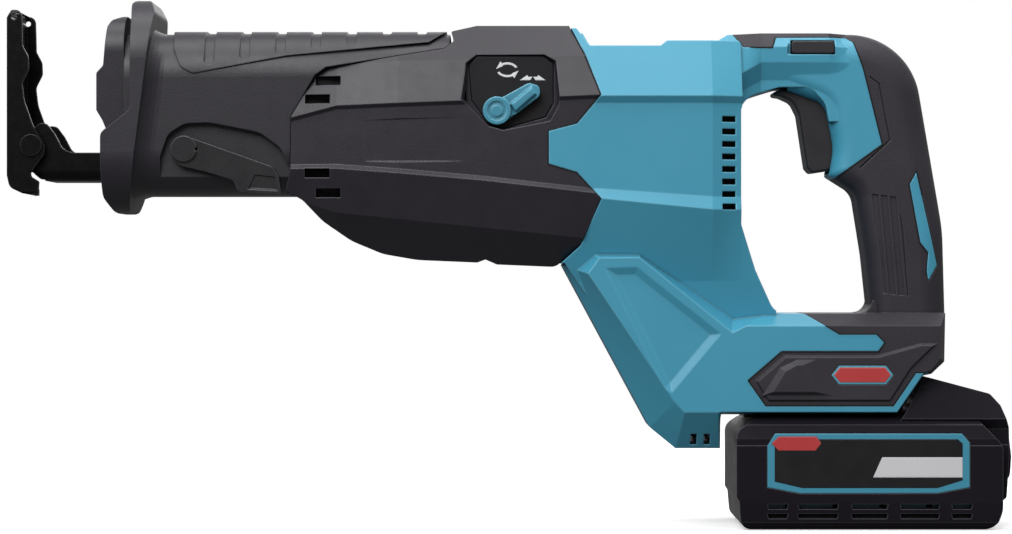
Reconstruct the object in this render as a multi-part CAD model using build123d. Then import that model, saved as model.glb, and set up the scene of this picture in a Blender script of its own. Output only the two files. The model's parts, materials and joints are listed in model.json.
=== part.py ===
"""Cordless reciprocating saw with a D-handle, a pivoting shoe and a slide-on battery.

Frame: +X runs to the rear, -X is the blade end, +Z is up and -Y is the operator's left.
The origin is the middle of the battery's flat underside, on the saw's mid-plane.
All lengths are in millimetres.
"""
import os
from math import atan2, cos, degrees, hypot, pi, radians, sin

from build123d import *

os.makedirs("parts", exist_ok=True)

# ---------------------------------------------------------------- driving dimensions
# clearances and walls
SEAM = 0.3              # visible gap between neighbouring mouldings
RUN = 0.06              # radial running clearance of a shaft in its bore
SLIDE_GAP = 0.4         # side clearance of a moulding that slides in another
HOUSING_WALL = 3.0      # moulded housing shells
CAST_WALL = 3.0         # aluminium gear case
BOOT_WALL = 5.2         # rubber boot
SKIN = 2.4              # elastomer skin over the handle core
THROUGH = 70.0          # half-length of cutters that pass right through the saw

# principal axes of the mechanism
PLUNGER_Z = 194.0
MOTOR_Z = 168.0
CRANK_X = -190.0

# nose boot and finger flange
BOOT_HALF_WIDTH = 31.0
BOOT_TOP = 219.0
BOOT_BOTTOM = 147.0
BOOT_CORNER = 20.0
FLANGE_TOP = 234.0
FLANGE_BOTTOM = 139.0
FLANGE_HALF_WIDTH = 38.0
FLANGE_FRONT_X = -337.5
FLANGE_STEP_X = -324.5
BOOT_REAR_X = -254.4
FLANGE_LEAN = 7.1       # degrees that the back of the flange leans to the rear
NOSE_HALF_WIDTH = 29.6
NOSE_TOP = 226.8
NOSE_BOTTOM = 152.4
NOSE_CORNER = 16.0

# gear covers
COVER_TOP = 222.2
COVER_FLAT_HALF = 22.0
COVER_SHOULDER_HALF = 31.0
COVER_RIDGE_HALF = 38.6
COVER_BAND_HALF = 37.2
COVER_LOW_RIDGE_HALF = 39.2
COVER_CREASE_HALF = 35.5
COVER_BELLY_HALF = 22.0
COVER_REAR_X = -117.0

# cast gear case
CASE_FRONT_X = -328.0
CASE_STEP_X = -252.0    # where the narrow nose meets the wide gear chamber
CASE_REAR_X = -151.0
CASE_HALF_WIDTH = 25.4
CASE_BOTTOM = 132.0
CASE_TOP = 213.0

# motor barrel
BARREL_FLAT_HALF = 23.0
BARREL_RIDGE_HALF = 39.6
BARREL_BAND_HALF = 37.6
BARREL_LOW_RIDGE_HALF = 40.2
BARREL_BELLY_HALF = 31.0
BARREL_REAR_X = -57.0
BARREL_REAR_TAPER = 0.86

# handle
HANDLE_TOP = 219.3
HANDLE_HALF_WIDTH = 18.5
GRIP_REAR_ROUND = 12.0
GRIP_FRONT_ROUND = 8.0
ARM_HALF_WIDTH = 21.0

# foot and strut
FOOT_HALF_WIDTH = 35.2
FOOT_BOTTOM = 50.0
STRUT_HALF_WIDTH = 24.0
STRUT_HOLLOW_DEPTH = 1.5    # sunk field on each side of the strut
HOOK_BOTTOM = 35.0

# battery
BATTERY_HALF_WIDTH = 38.0
BATTERY_HALF_LENGTH = 58.5
BATTERY_DECK = 49.6
BATTERY_SPLIT = 37.0
BATTERY_WALL = 2.2
CELL_RADIUS = 9.1
CELL_LENGTH = 65.0
TONGUE_HALF_WIDTH = 25.0
TONGUE_NECK_HALF = 21.0
TONGUE_TOP = 60.5
RAIL_TOP = 55.6

# shoe and its bracket
SHOE_PIN_X = -370.0
SHOE_PIN_Z = 169.3
SHOE_PIN_R = 4.0
SHOE_HALF_WIDTH = 22.5
SHOE_SHEET = 2.0
BRACKET_HALF_WIDTH = 17.5
BRACKET_SHEET = 2.5
BRACKET_TOP = 166.2
BRACKET_BOTTOM = 153.4
BRACKET_REAR_X = -288.0
SHOE_IN = 14.0

# plunger drive
STROKE = 32.0
PIVOT_X = -270.5        # swing axis of the guide sleeve
PIVOT_BOSS = 7.0        # half-length of the boss round that axis
PLUNGER_R = 8.0
PLUNGER_FRONT_X = -322.0
HEAD_THICK = 8.6        # square head behind the plunger bar
HEAD_ABOVE = 8.0
YOKE_THICK = 2.8        # slotted plate that the crank pin drives
YOKE_Y = -18.6
YOKE_ABOVE = 1.0
PLUNGER_REAR_X = PIVOT_X + PIVOT_BOSS + STROKE + 0.5 + HEAD_THICK
SWING_ROOM = 4.5
CLAMP_R = 11.5
CLAMP_LENGTH = 24.0
BLADE_SLOT = 2.0
BLADE_SHANK = 13.0
GUIDE_FRONT_X = -300.0
GUIDE_REAR_X = PIVOT_X - 4.0
CRANK_PIN_R = 4.0
GEAR_MODULE = 1.75
GEAR_TEETH = 34
PINION_TEETH = 9
PINION_PHASE = 30.0     # degrees that set a pinion gap on a crown gear tooth
FACE_WIDTH = 7.0
COUNTERWEIGHT_THROW = 8.0

# controls
TRIGGER_HALF_WIDTH = 10.6
TRIGGER_TRAVEL = 6.0
BUTTON_TRAVEL = 3.5
SELECTOR_X = -163.5
SELECTOR_Z = 184.0
SELECTOR_POCKET_DEPTH = 9.0
BLADE_LEVER_X = -301.5
BLADE_LEVER_Z = 167.4
BLADE_LEVER_THICK = 3.6
LEVER_POCKET_FLOOR = 27.1

# fasteners
SCREW_R = 1.9
SCREW_HEAD_R = 3.6
BOSS_R = 4.4


# ---------------------------------------------------------------- helpers
def side_face(points, y=0.0, radii=None):
    """Face parallel to the mid-plane at y, from (x, z) corners that may be rounded."""
    corners = [(x, y, z) for x, z in points]
    if radii is None:
        return make_face(Polyline(*corners, close=True))
    return make_face(FilletPolyline(*corners, radius=radii, close=True))


def slab(points, y0, y1, radii=None):
    """Side outline extruded across the saw from y0 to y1."""
    return extrude(side_face(points, y0, radii), amount=y1 - y0, dir=(0, 1, 0))


def both_ways(points, half, radii=None):
    """Side outline extruded equally to both sides of the mid-plane."""
    return slab(points, -half, half, radii)


def section(half_points, x):
    """Face across the saw at x, from the (y, z) corners of its +Y half, top to bottom."""
    right = [(x, y, z) for y, z in half_points]
    left = [(x, -y, z) for y, z in reversed(half_points) if y > 0]
    return make_face(Polyline(*right, *left, close=True))


def rounded_section(x, half, low, high, radius):
    """Rounded rectangle across the saw at x."""
    plane = Plane(origin=(x, 0, (low + high) / 2), x_dir=(0, 1, 0), z_dir=(1, 0, 0))
    return plane * RectangleRounded(2 * half, high - low, radius)


def across(half_points, x0, x1):
    """Section extruded along the saw from x0 to x1."""
    return extrude(section(half_points, x0), amount=x1 - x0, dir=(1, 0, 0))


def inset(points, distance):
    """Corners of a side outline moved inwards (or outwards, if negative) by distance."""
    area = sum(points[i - 1][0] * points[i][1] - points[i][0] * points[i - 1][1]
               for i in range(len(points)))
    turn = 1 if area > 0 else -1
    lines = []
    for i, (x1, z1) in enumerate(points):
        x2, z2 = points[(i + 1) % len(points)]
        length = hypot(x2 - x1, z2 - z1)
        nx, nz = -turn * (z2 - z1) / length, turn * (x2 - x1) / length
        lines.append((x1 + nx * distance, z1 + nz * distance, x2 - x1, z2 - z1))
    moved = []
    for i, (px, pz, dx, dz) in enumerate(lines):
        qx, qz, ex, ez = lines[i - 1]
        t = ((qx - px) * ez - (qz - pz) * ex) / (dx * ez - dz * ex)
        moved.append((px + t * dx, pz + t * dz))
    return moved


def panel(base, top, y_base, y_top):
    """Raised or sunk panel whose sides slope from the base outline to the top outline."""
    return loft([side_face(base, y_base), side_face(top, y_top)], ruled=True)


def mirrored_pair(shape):
    """A shape and its mirror image on the other side of the mid-plane."""
    return shape + mirror(shape, about=Plane.XZ)


def block(x0, x1, y0, y1, z0, z1):
    return Pos((x0 + x1) / 2, (y0 + y1) / 2, (z0 + z1) / 2) * Box(
        abs(x1 - x0), abs(y1 - y0), abs(z1 - z0))


def rod_x(x0, x1, y, z, radius):
    return Pos((x0 + x1) / 2, y, z) * Rot(0, 90, 0) * Cylinder(radius, abs(x1 - x0))


def rod_y(x, z, y0, y1, radius):
    return Pos(x, (y0 + y1) / 2, z) * Rot(90, 0, 0) * Cylinder(radius, abs(y1 - y0))


def rod_z(x, y, z0, z1, radius):
    return Pos(x, y, (z0 + z1) / 2) * Cylinder(radius, abs(z1 - z0))


def halves(shape):
    """The left (-Y) and right (+Y) half of a shape split on the mid-plane."""
    reach = 2 * THROUGH
    left = shape & block(-500, 200, -reach, 0, -50, 300)
    right = shape & block(-500, 200, 0, reach, -50, 300)
    return left, right


nodes = {}

# ---------------------------------------------------------------- shared side outlines
# edge of the gear covers, clockwise from the front of the top
COVER_OUTLINE = [
    (-170.0, 226.0), (-133.5, 226.0), (-125.1, 209.4), (-118.0, 191.0), (-128.5, 178.5),
    (-141.0, 175.2), (-141.0, 160.4), (-128.5, 156.7), (-118.0, 145.3), (-127.0, 124.9),
    (-137.6, 115.3), (-163.6, 116.4), (-168.9, 118.7), (-172.6, 117.3), (-199.0, 118.4),
    (-214.0, 121.0), (-228.0, 126.8), (-240.5, 135.5), (-249.0, 144.6), (-256.5, 149.0),
    (BOOT_REAR_X, 157.8), (-254.0, 181.7), (-243.6, 199.6), (-238.8, 203.1),
    (-186.5, 211.8), (-182.6, 215.3), (-183.8, 219.6), (-171.6, 222.4),
]
COVER_ROUNDS = [0, 3, 0, 1, 1, 0.6, 0.6, 1, 1, 0, 5, 1, 1, 2, 30, 20, 25, 20, 6, 0, 0, 0, 0, 0, 0, 0, 0.8, 0]

# open hand hole of the D-handle
HAND_HOLE = [
    (-56.0, 185.0), (-52.5, 191.0), (-38.0, 195.4), (-24.0, 195.4), (-17.4, 188.0),
    (-13.4, 168.0), (-15.5, 156.0), (-3.6, 148.5), (0.8, 121.0), (3.6, 94.6),
    (-40.5, 94.6), (-49.4, 113.7), (-56.0, 134.0),
]
HAND_HOLE_ROUNDS = [3, 12, 8, 8, 8, 25, 1.2, 9, 60, 4.5, 8, 60, 3]

# where the elastomer skin shows on the sides of the handle and foot
SKIN_OUTLINE = [
    (-62.0, 226.0), (-59.3, 219.1), (-54.2, 212.8), (-41.3, 212.6), (-39.7, 217.3),
    (-8.2, 217.4), (-4.8, 215.2), (-0.6, 203.3), (7.8, 169.7), (-14.6, 153.6),
    (-20.0, 130.0), (-27.4, 100.0), (-27.4, 94.8), (-18.4, 89.1), (-13.1, 85.9),
    (3.3, 85.9), (7.0, 82.1), (4.1, 78.1), (-38.4, 78.1), (-53.1, 65.4), (-45.4, 54.4),
    (10.6, 54.4), (20.5, 69.0), (26.5, 69.0), (31.0, 66.0), (50.0, 66.0), (50.0, 226.0),
]


# ---------------------------------------------------------------- gear covers
def cover_half_points(top, shoulder, ridge, low_ridge, crease, belly, widen, wall=0.0):
    """Half section of the gear covers; wall moves every corner inwards."""
    step = 1.8
    return [
        (0, top - wall), (COVER_FLAT_HALF - 0.5 * wall, top - wall),
        (COVER_SHOULDER_HALF + widen - wall, shoulder),
        (COVER_RIDGE_HALF + widen - wall, ridge),
        (COVER_BAND_HALF + widen - wall, ridge - step),
        (COVER_BAND_HALF + widen - wall, low_ridge + step),
        (COVER_LOW_RIDGE_HALF + widen - wall, low_ridge),
        (COVER_CREASE_HALF + widen - wall, crease),
        (COVER_BELLY_HALF - 0.5 * wall, belly + wall), (0, belly + wall),
    ]


# x, shoulder, ridge, low ridge, crease and belly heights, and how much wider than the middle
COVER_STATIONS = [
    (-262.0, 198.0, 179.0, 158.5, 148.0, 143.0, -6.4),
    (-234.0, 203.6, 186.2, 158.6, 139.4, 129.0, -2.4),
    (-207.0, 206.2, 187.3, 156.6, 136.6, 118.0, -0.4),
    (-170.0, 207.1, 188.6, 153.4, 132.8, 115.6, 0.0),
    (COVER_REAR_X, 208.6, 190.9, 147.4, 127.4, 112.6, 0.4),
]


def cover_body(wall=0.0):
    sections = [
        section(cover_half_points(COVER_TOP, shoulder, ridge, low, crease, belly, widen, wall), x)
        for x, shoulder, ridge, low, crease, belly, widen in COVER_STATIONS
    ]
    return loft(sections, ruled=True)


def window(x0, x1, z0, z1, inner=20.0):
    """Cutter for a rectangular slot through both side walls."""
    return mirrored_pair(block(x0, x1, inner, THROUGH, z0, z1))


SELECTOR_RIM = [
    (-180.4, 206.6), (-174.0, 211.4), (-140.4, 211.4), (-135.2, 208.6), (-135.6, 185.6),
    (-139.6, 178.6), (-160.8, 175.0), (-167.0, 176.6), (-180.4, 189.0),
]
SELECTOR_FLOOR = [
    (-176.0, 204.6), (-172.4, 208.4), (-143.0, 208.4), (-138.6, 205.0), (-138.6, 187.6),
    (-142.0, 181.4), (-160.6, 176.2), (-167.0, 178.0), (-174.6, 188.6),
]


def band_hollow():
    """Cutter for the hollow in the middle band, steep at its front and fading to the rear."""
    stations = [(-224.5, COVER_BAND_HALF + 0.4, 0.3), (-221.5, COVER_BAND_HALF - 1.5, 2.4),
                (-160.0, COVER_BAND_HALF + 0.5, 2.4)]
    faces = []
    for x, depth_y, shrink in stations:
        low, high = 159.4 + shrink, 182.0 + 0.03 * (x + 224) - shrink
        faces.append(make_face(Polyline((x, depth_y, low), (x, depth_y, high), (x, 45, high + 6),
                                        (x, 45, low - 6), close=True)))
    return loft(faces, ruled=True)


def gear_covers():
    outer = cover_body()
    inner = cover_body(HOUSING_WALL)
    outline = both_ways(COVER_OUTLINE, THROUGH, COVER_ROUNDS)
    shell = (outer - inner) & outline
    # hollow in the middle band that fades out to the rear
    shell -= mirrored_pair(band_hollow())
    # four exhaust windows in each side
    for x0, z0, z1 in ((-243.4, 195.4, 199.4), (-248.0, 187.2, 191.2),
                       (-248.0, 154.6, 158.6), (-243.2, 145.9, 149.9)):
        shell -= window(x0, x0 + 11.0, z0, z1)
    left, right = halves(shell)
    # pocket for the selector lever, on the left side only
    floor_y = -(COVER_BAND_HALF - SELECTOR_POCKET_DEPTH)
    left += slab(inset(SELECTOR_FLOOR, -2.4), floor_y + 2.2, -COVER_SHOULDER_HALF + 2.0) & cover_body()
    left -= panel(SELECTOR_RIM, SELECTOR_FLOOR, -COVER_RIDGE_HALF - 2.0, floor_y)
    left -= rod_y(SELECTOR_X, SELECTOR_Z, -THROUGH, -20, 4.0 + RUN)
    nodes["left_gear_cover"] = left
    nodes["right_gear_cover"] = right
    plate = slab(inset(SELECTOR_FLOOR, 0.3), floor_y, floor_y - 0.8)
    nodes["selector_plate"] = plate - rod_y(SELECTOR_X, SELECTOR_Z, -THROUGH, 0, 4.0 + RUN)


# ---------------------------------------------------------------- rubber boot
FLANGE_SIDE = [
    (-325.5, FLANGE_TOP), (-317.0, FLANGE_TOP), (-314.6, 228.0), (-325.2, 146.0),
    (-326.6, FLANGE_BOTTOM), (-333.0, FLANGE_BOTTOM), (-337.2, 146.0),
    (FLANGE_FRONT_X, 158.0), (FLANGE_FRONT_X, 174.2), (FLANGE_STEP_X, 184.6),
    (FLANGE_STEP_X, 225.0),
]
FLANGE_ROUNDS = [2.5, 3, 4, 0, 2, 3, 6, 10, 4, 4, 20]
LEVER_POCKET = [
    (-312.5, 130.0), (-312.0, 164.0), (-308.5, 174.0), (-301.0, 178.6), (-290.0, 179.0),
    (-268.0, 174.6), (-259.0, 168.0), (-254.0, 158.0), (-250.0, 130.0),
]
LEVER_POCKET_ROUNDS = [0, 8, 8, 8, 20, 10, 8, 4, 0]
TOP_PAD = [
    (-307.5, 224.5), (-306.2, 212.0), (-303.0, 203.4), (-297.5, 200.6), (-256.0, 208.6),
    (-193.5, 214.8), (-186.0, 220.0), (-184.5, 224.5),
]


def nose_outline(gap=0.0):
    """Space of the nose plate, from in front of the flange back to the gear case."""
    face = rounded_section(-350.0, NOSE_HALF_WIDTH + gap, NOSE_BOTTOM - gap, NOSE_TOP + gap,
                           NOSE_CORNER + gap)
    return extrude(face, amount=CASE_FRONT_X + 350.0, dir=(1, 0, 0))


def boot_tube(x0, x1, wall=0.0):
    face = rounded_section(x0, BOOT_HALF_WIDTH - wall, BOOT_BOTTOM + wall, BOOT_TOP - wall,
                           max(BOOT_CORNER - wall, 2.0))
    return extrude(face, amount=x1 - x0, dir=(1, 0, 0))


def nose_boot():
    flange_front = rounded_section(-360, FLANGE_HALF_WIDTH, FLANGE_BOTTOM, FLANGE_TOP, 27.0)
    flange = (both_ways(FLANGE_SIDE, THROUGH, FLANGE_ROUNDS)
              & extrude(flange_front, amount=60, dir=(1, 0, 0)))
    # concave flare from the flange down to the tube, as a stack of shrinking sections
    flare_steps = 5
    flare_length, flare_rise = 10.0, 5.2
    lean = radians(FLANGE_LEAN)
    sections = []
    for i in range(flare_steps + 1):
        part = i / flare_steps
        grow = flare_rise * (1 - sin(pi / 2 * part))
        plane = Plane(origin=(-322.5 + flare_length * part, 0, (BOOT_TOP + BOOT_BOTTOM) / 2),
                      x_dir=(0, 1, 0), z_dir=(cos(lean), 0, -sin(lean)))
        sections.append(plane * RectangleRounded(
            2 * (BOOT_HALF_WIDTH + grow), BOOT_TOP - BOOT_BOTTOM + 1.2 * grow,
            BOOT_CORNER + 0.6 * grow))
    flare = loft(sections, ruled=True)
    tube = boot_tube(CASE_FRONT_X, BOOT_REAR_X + 70)
    body = tube + flare
    # raised pad along the top with cross grooves
    pad_outer = extrude(rounded_section(-310, BOOT_HALF_WIDTH + 0.5, BOOT_BOTTOM, BOOT_TOP + 1.2,
                                        BOOT_CORNER), amount=130, dir=(1, 0, 0))
    pad_cut = both_ways(TOP_PAD, THROUGH, [0, 3, 5, 3, 0, 2, 1, 0])
    body += pad_outer & pad_cut
    for i in range(8):
        x = -290.4 + 15.6 * i
        depth = 14.5 - 2.2 * i if i < 5 else 1.0
        groove = both_ways([(x - 2.2, 226), (x + 2.2, 226), (x + 2.2, BOOT_TOP - depth),
                            (x - 2.2, BOOT_TOP - depth)], THROUGH, [0, 0, 2, 2])
        ring = pad_outer - extrude(
            rounded_section(-312, BOOT_HALF_WIDTH - 0.4, BOOT_BOTTOM, BOOT_TOP + 0.3,
                            BOOT_CORNER - 0.9), amount=140, dir=(1, 0, 0))
        body -= groove & ring
    body += flange
    # the covers' edge line ends the boot; over the top it runs on above the covers
    cover_edge = both_ways(inset(COVER_OUTLINE, -SEAM), THROUGH)
    body -= cover_edge
    body -= block(-184.1, 0, -THROUGH, THROUGH, 0, 300)
    # hollow for the gear case, open to the rear, and the seat of the nose plate
    body -= boot_tube(-345.0, -150.0, BOOT_WALL)
    body -= nose_outline(SEAM)
    # lever pocket in the left flank
    pocket = slab(LEVER_POCKET, -THROUGH, -LEVER_POCKET_FLOOR, LEVER_POCKET_ROUNDS)
    body -= pocket
    body -= rod_y(BLADE_LEVER_X, BLADE_LEVER_Z, -THROUGH, -10, 4.0 + RUN)
    nodes["nose_boot"] = body


# ---------------------------------------------------------------- motor housing and foot
STRUT_HOLLOW = [
    (-116.2, 115.0), (-101.6, 115.4), (-95.0, 110.0), (-64.8, 86.0), (-86.6, 60.0), (-90.0, 62.0),
]
BARREL_SIDE = [
    (-150.0, 221.2), (-128.4, 221.0), (-122.4, 213.1), (-91.2, 213.1), (-88.4, 215.4),
    (-55.5, 215.4), (-55.5, 133.5), (-49.4, 113.7), (-36.0, 90.0), (-60.0, 84.0),
    (-96.0, 62.0), (-133.6, 117.0), (-150.0, 117.0),
]
PAD_BASE = [
    (-134.6, 116.2), (-125.7, 124.5), (-101.2, 124.2), (-81.7, 110.9), (-58.5, 93.4),
    (-44.0, 94.9), (35.2, 94.9), (34.8, 73.4), (29.0, 67.9), (25.4, 67.2),
    (13.5, FOOT_BOTTOM), (-64.6, FOOT_BOTTOM), (-64.6, HOOK_BOTTOM), (-84.5, HOOK_BOTTOM),
    (-95.8, 44.3),
]
PAD_TOP = [
    (-123.4, 112.4), (-118.4, 119.4), (-100.8, 119.5), (-79.5, 102.3), (-60.1, 86.5),
    (-54.0, 89.5), (31.4, 89.5), (31.4, 75.0), (27.2, 69.9), (24.2, 69.0),
    (12.3, FOOT_BOTTOM + 1.6), (-64.5, FOOT_BOTTOM + 1.6), (-66.5, FOOT_BOTTOM + 1.4),
    (-81.0, FOOT_BOTTOM + 1.4), (-85.3, 56.0),
]
GRIP_SIDE = [
    (-34.0, HANDLE_TOP), (20.9, HANDLE_TOP), (35.8, 132.0), (36.9, 92.0), (36.9, 78.0),
    (2.2, 78.0), (3.6, 94.6), (0.8, 121.0), (-3.6, 148.5), (-15.5, 156.0),
    (-13.4, 168.0), (-17.4, 188.0), (-34.0, 194.0),
]
GRIP_SIDE_ROUNDS = [0, 32, 90, 40, 0, 0, 20, 60, 9, 1.2, 25, 8, 0]
ACCENT = [
    (22.9, 157.8), (19.7, 152.2), (24.5, 126.2), (28.1, 121.7), (27.3, 113.0),
    (28.3, 109.0), (32.5, 116.2),
]
GRIP_PANEL = [
    (-1.6, 148.4), (14.6, 146.4), (17.2, 130.6), (19.2, 102.4), (8.0, 103.6), (7.0, 121.0), (3.0, 141.0),
]
GRIP_GROOVE = [(2.4, 199.6), (6.3, 196.6), (11.0, 171.6), (-2.0, 159.6)]
FOOT_FACET = [(-47.4, 58.6), (-39.6, 71.2), (-31.4, 75.0), (-22.8, 75.0), (-15.0, 58.6)]
FOOT_FACET_TOP = [(-42.4, 60.6), (-36.8, 69.6), (-32.0, 72.2), (-29.6, 72.2), (-24.0, 60.6)]
HEXAGON = [(-16.9, 67.9), (-13.4, 72.2), (7.4, 72.2), (10.8, 67.9), (7.4, 63.6), (-13.4, 63.6)]
HOUSING_SCREWS = [
    (-139.0, 205.0, 25.0), (-100.0, 205.0, 25.0), (-66.0, 125.0, 22.0), (-110.0, 104.0, 26.0),
    (-78.0, 64.0, 26.0), (27.0, 84.0, 27.0), (12.0, 108.0, 12.5), (12.0, 201.0, 12.5),
]


def barrel(wall=0.0):
    """Motor barrel running down into the strut, before the side outline trims it."""
    def half(shrink, low, crease):
        return [
            (0, 224 - wall), ((BARREL_FLAT_HALF - 0.5 * wall) * shrink, 224 - wall),
            (BARREL_RIDGE_HALF * shrink - wall, 190.4),
            (BARREL_BAND_HALF * shrink - wall, 187.2),
            (BARREL_BAND_HALF * shrink - wall, low),
            (BARREL_LOW_RIDGE_HALF * shrink - wall, crease),
            (BARREL_BELLY_HALF - 3 - wall, 109.0), (STRUT_HALF_WIDTH - wall, 90.0),
            (STRUT_HALF_WIDTH - wall, 30.0), (0, 30.0),
        ]
    taper = BARREL_REAR_TAPER
    return loft([section(half(1.0, 149.6, 145.4), -158.0),
                 section(half(1.0, 149.6, 145.4), -118.0),
                 section(half(1.0, 146.2, 140.6), -69.0),
                 section(half(taper, 146.2, 140.6), -55.5 - wall),
                 section(half(taper - 0.1, 146.2, 140.6), -40.0)], ruled=True)


def arm(inside=0.0):
    """Upper arm of the D-handle, blending from the barrel's shoulders to the grip."""
    def half(top, flat, half_width, crease, z_crease, low):
        return [
            (0, top - inside), (flat - 0.6 * inside, top - inside),
            (half_width - inside, top - 6.2 - 0.4 * inside), (crease - inside, z_crease),
            (low - inside, z_crease - 8.0), (low - inside, 180.0), (0, 180.0),
        ]
    wide = ARM_HALF_WIDTH
    return loft([section(half(215.3, 22.0, 26.5, 38.6, 191.4, 34.0), -72.0),
                 section(half(215.4, 21.0, 25.2, 34.5, 194.8, 30.2), -66.0),
                 section(half(218.3, 19.6, 24.2, 31.4, 197.6, 27.2), -61.2),
                 section(half(HANDLE_TOP, 16.0, wide, wide, 206.2, 17.5), -46.0),
                 section(half(HANDLE_TOP, 16.0, wide - 0.3, wide - 0.6, 206.2, 17.5), -16.0),
                 section(half(HANDLE_TOP - 0.2, 8.0, 16.6, 18.4, 206.2, 17.8), -6.0)], ruled=True)


def grip(inside=0.0):
    """Grip of the D-handle with rounded back and front."""
    face = side_face(GRIP_SIDE, 0, GRIP_SIDE_ROUNDS)
    if inside:
        face = offset(face, amount=-inside)
    half = HANDLE_HALF_WIDTH - inside
    body = extrude(face, amount=half, dir=(0, 1, 0), both=True)

    def outline_edges(x0, x1, z0, z1):
        return body.edges().filter_by(
            lambda e: abs(abs(e.center().Y) - half) < 0.01
            and x0 < e.center().X < x1 and z0 < e.center().Z < z1)

    back = (outline_edges(20, 60, 79 + inside, 300)
            + outline_edges(-30 + inside, 20, 212 - inside, 300))
    body = fillet(back, GRIP_REAR_ROUND - inside)
    if inside < GRIP_FRONT_ROUND - 4:
        front = outline_edges(-9, 6, 79 + inside, 150.5)
        body = fillet(front, GRIP_FRONT_ROUND - inside)
    return body


def grip_ribs():
    """Upright ribs left standing in the finger panel."""
    ribs = Part()
    for i in range(4):
        x = 2.4 + 3.9 * i
        ribs += slab([(x - 0.5, 150.0), (x + 0.5, 150.0), (x + 5.0, 100.0), (x + 4.0, 100.0)], 0, THROUGH)
    return ribs


def foot():
    side = panel(PAD_BASE, PAD_TOP, STRUT_HALF_WIDTH - 2, FOOT_HALF_WIDTH)
    return both_ways(PAD_BASE, STRUT_HALF_WIDTH - 2) + mirrored_pair(side)


def foot_core(inside):
    return (both_ways(inset(PAD_BASE, inside), STRUT_HALF_WIDTH - 1.9 - inside)
            + both_ways(inset(PAD_TOP, inside), FOOT_HALF_WIDTH - inside))


def hand_hole():
    return both_ways(HAND_HOLE, THROUGH, HAND_HOLE_ROUNDS)


def cover_notch(gap):
    """Everything forward of the covers' rear edge, with a gap to it."""
    return both_ways(inset(COVER_OUTLINE, -gap), THROUGH)


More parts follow.
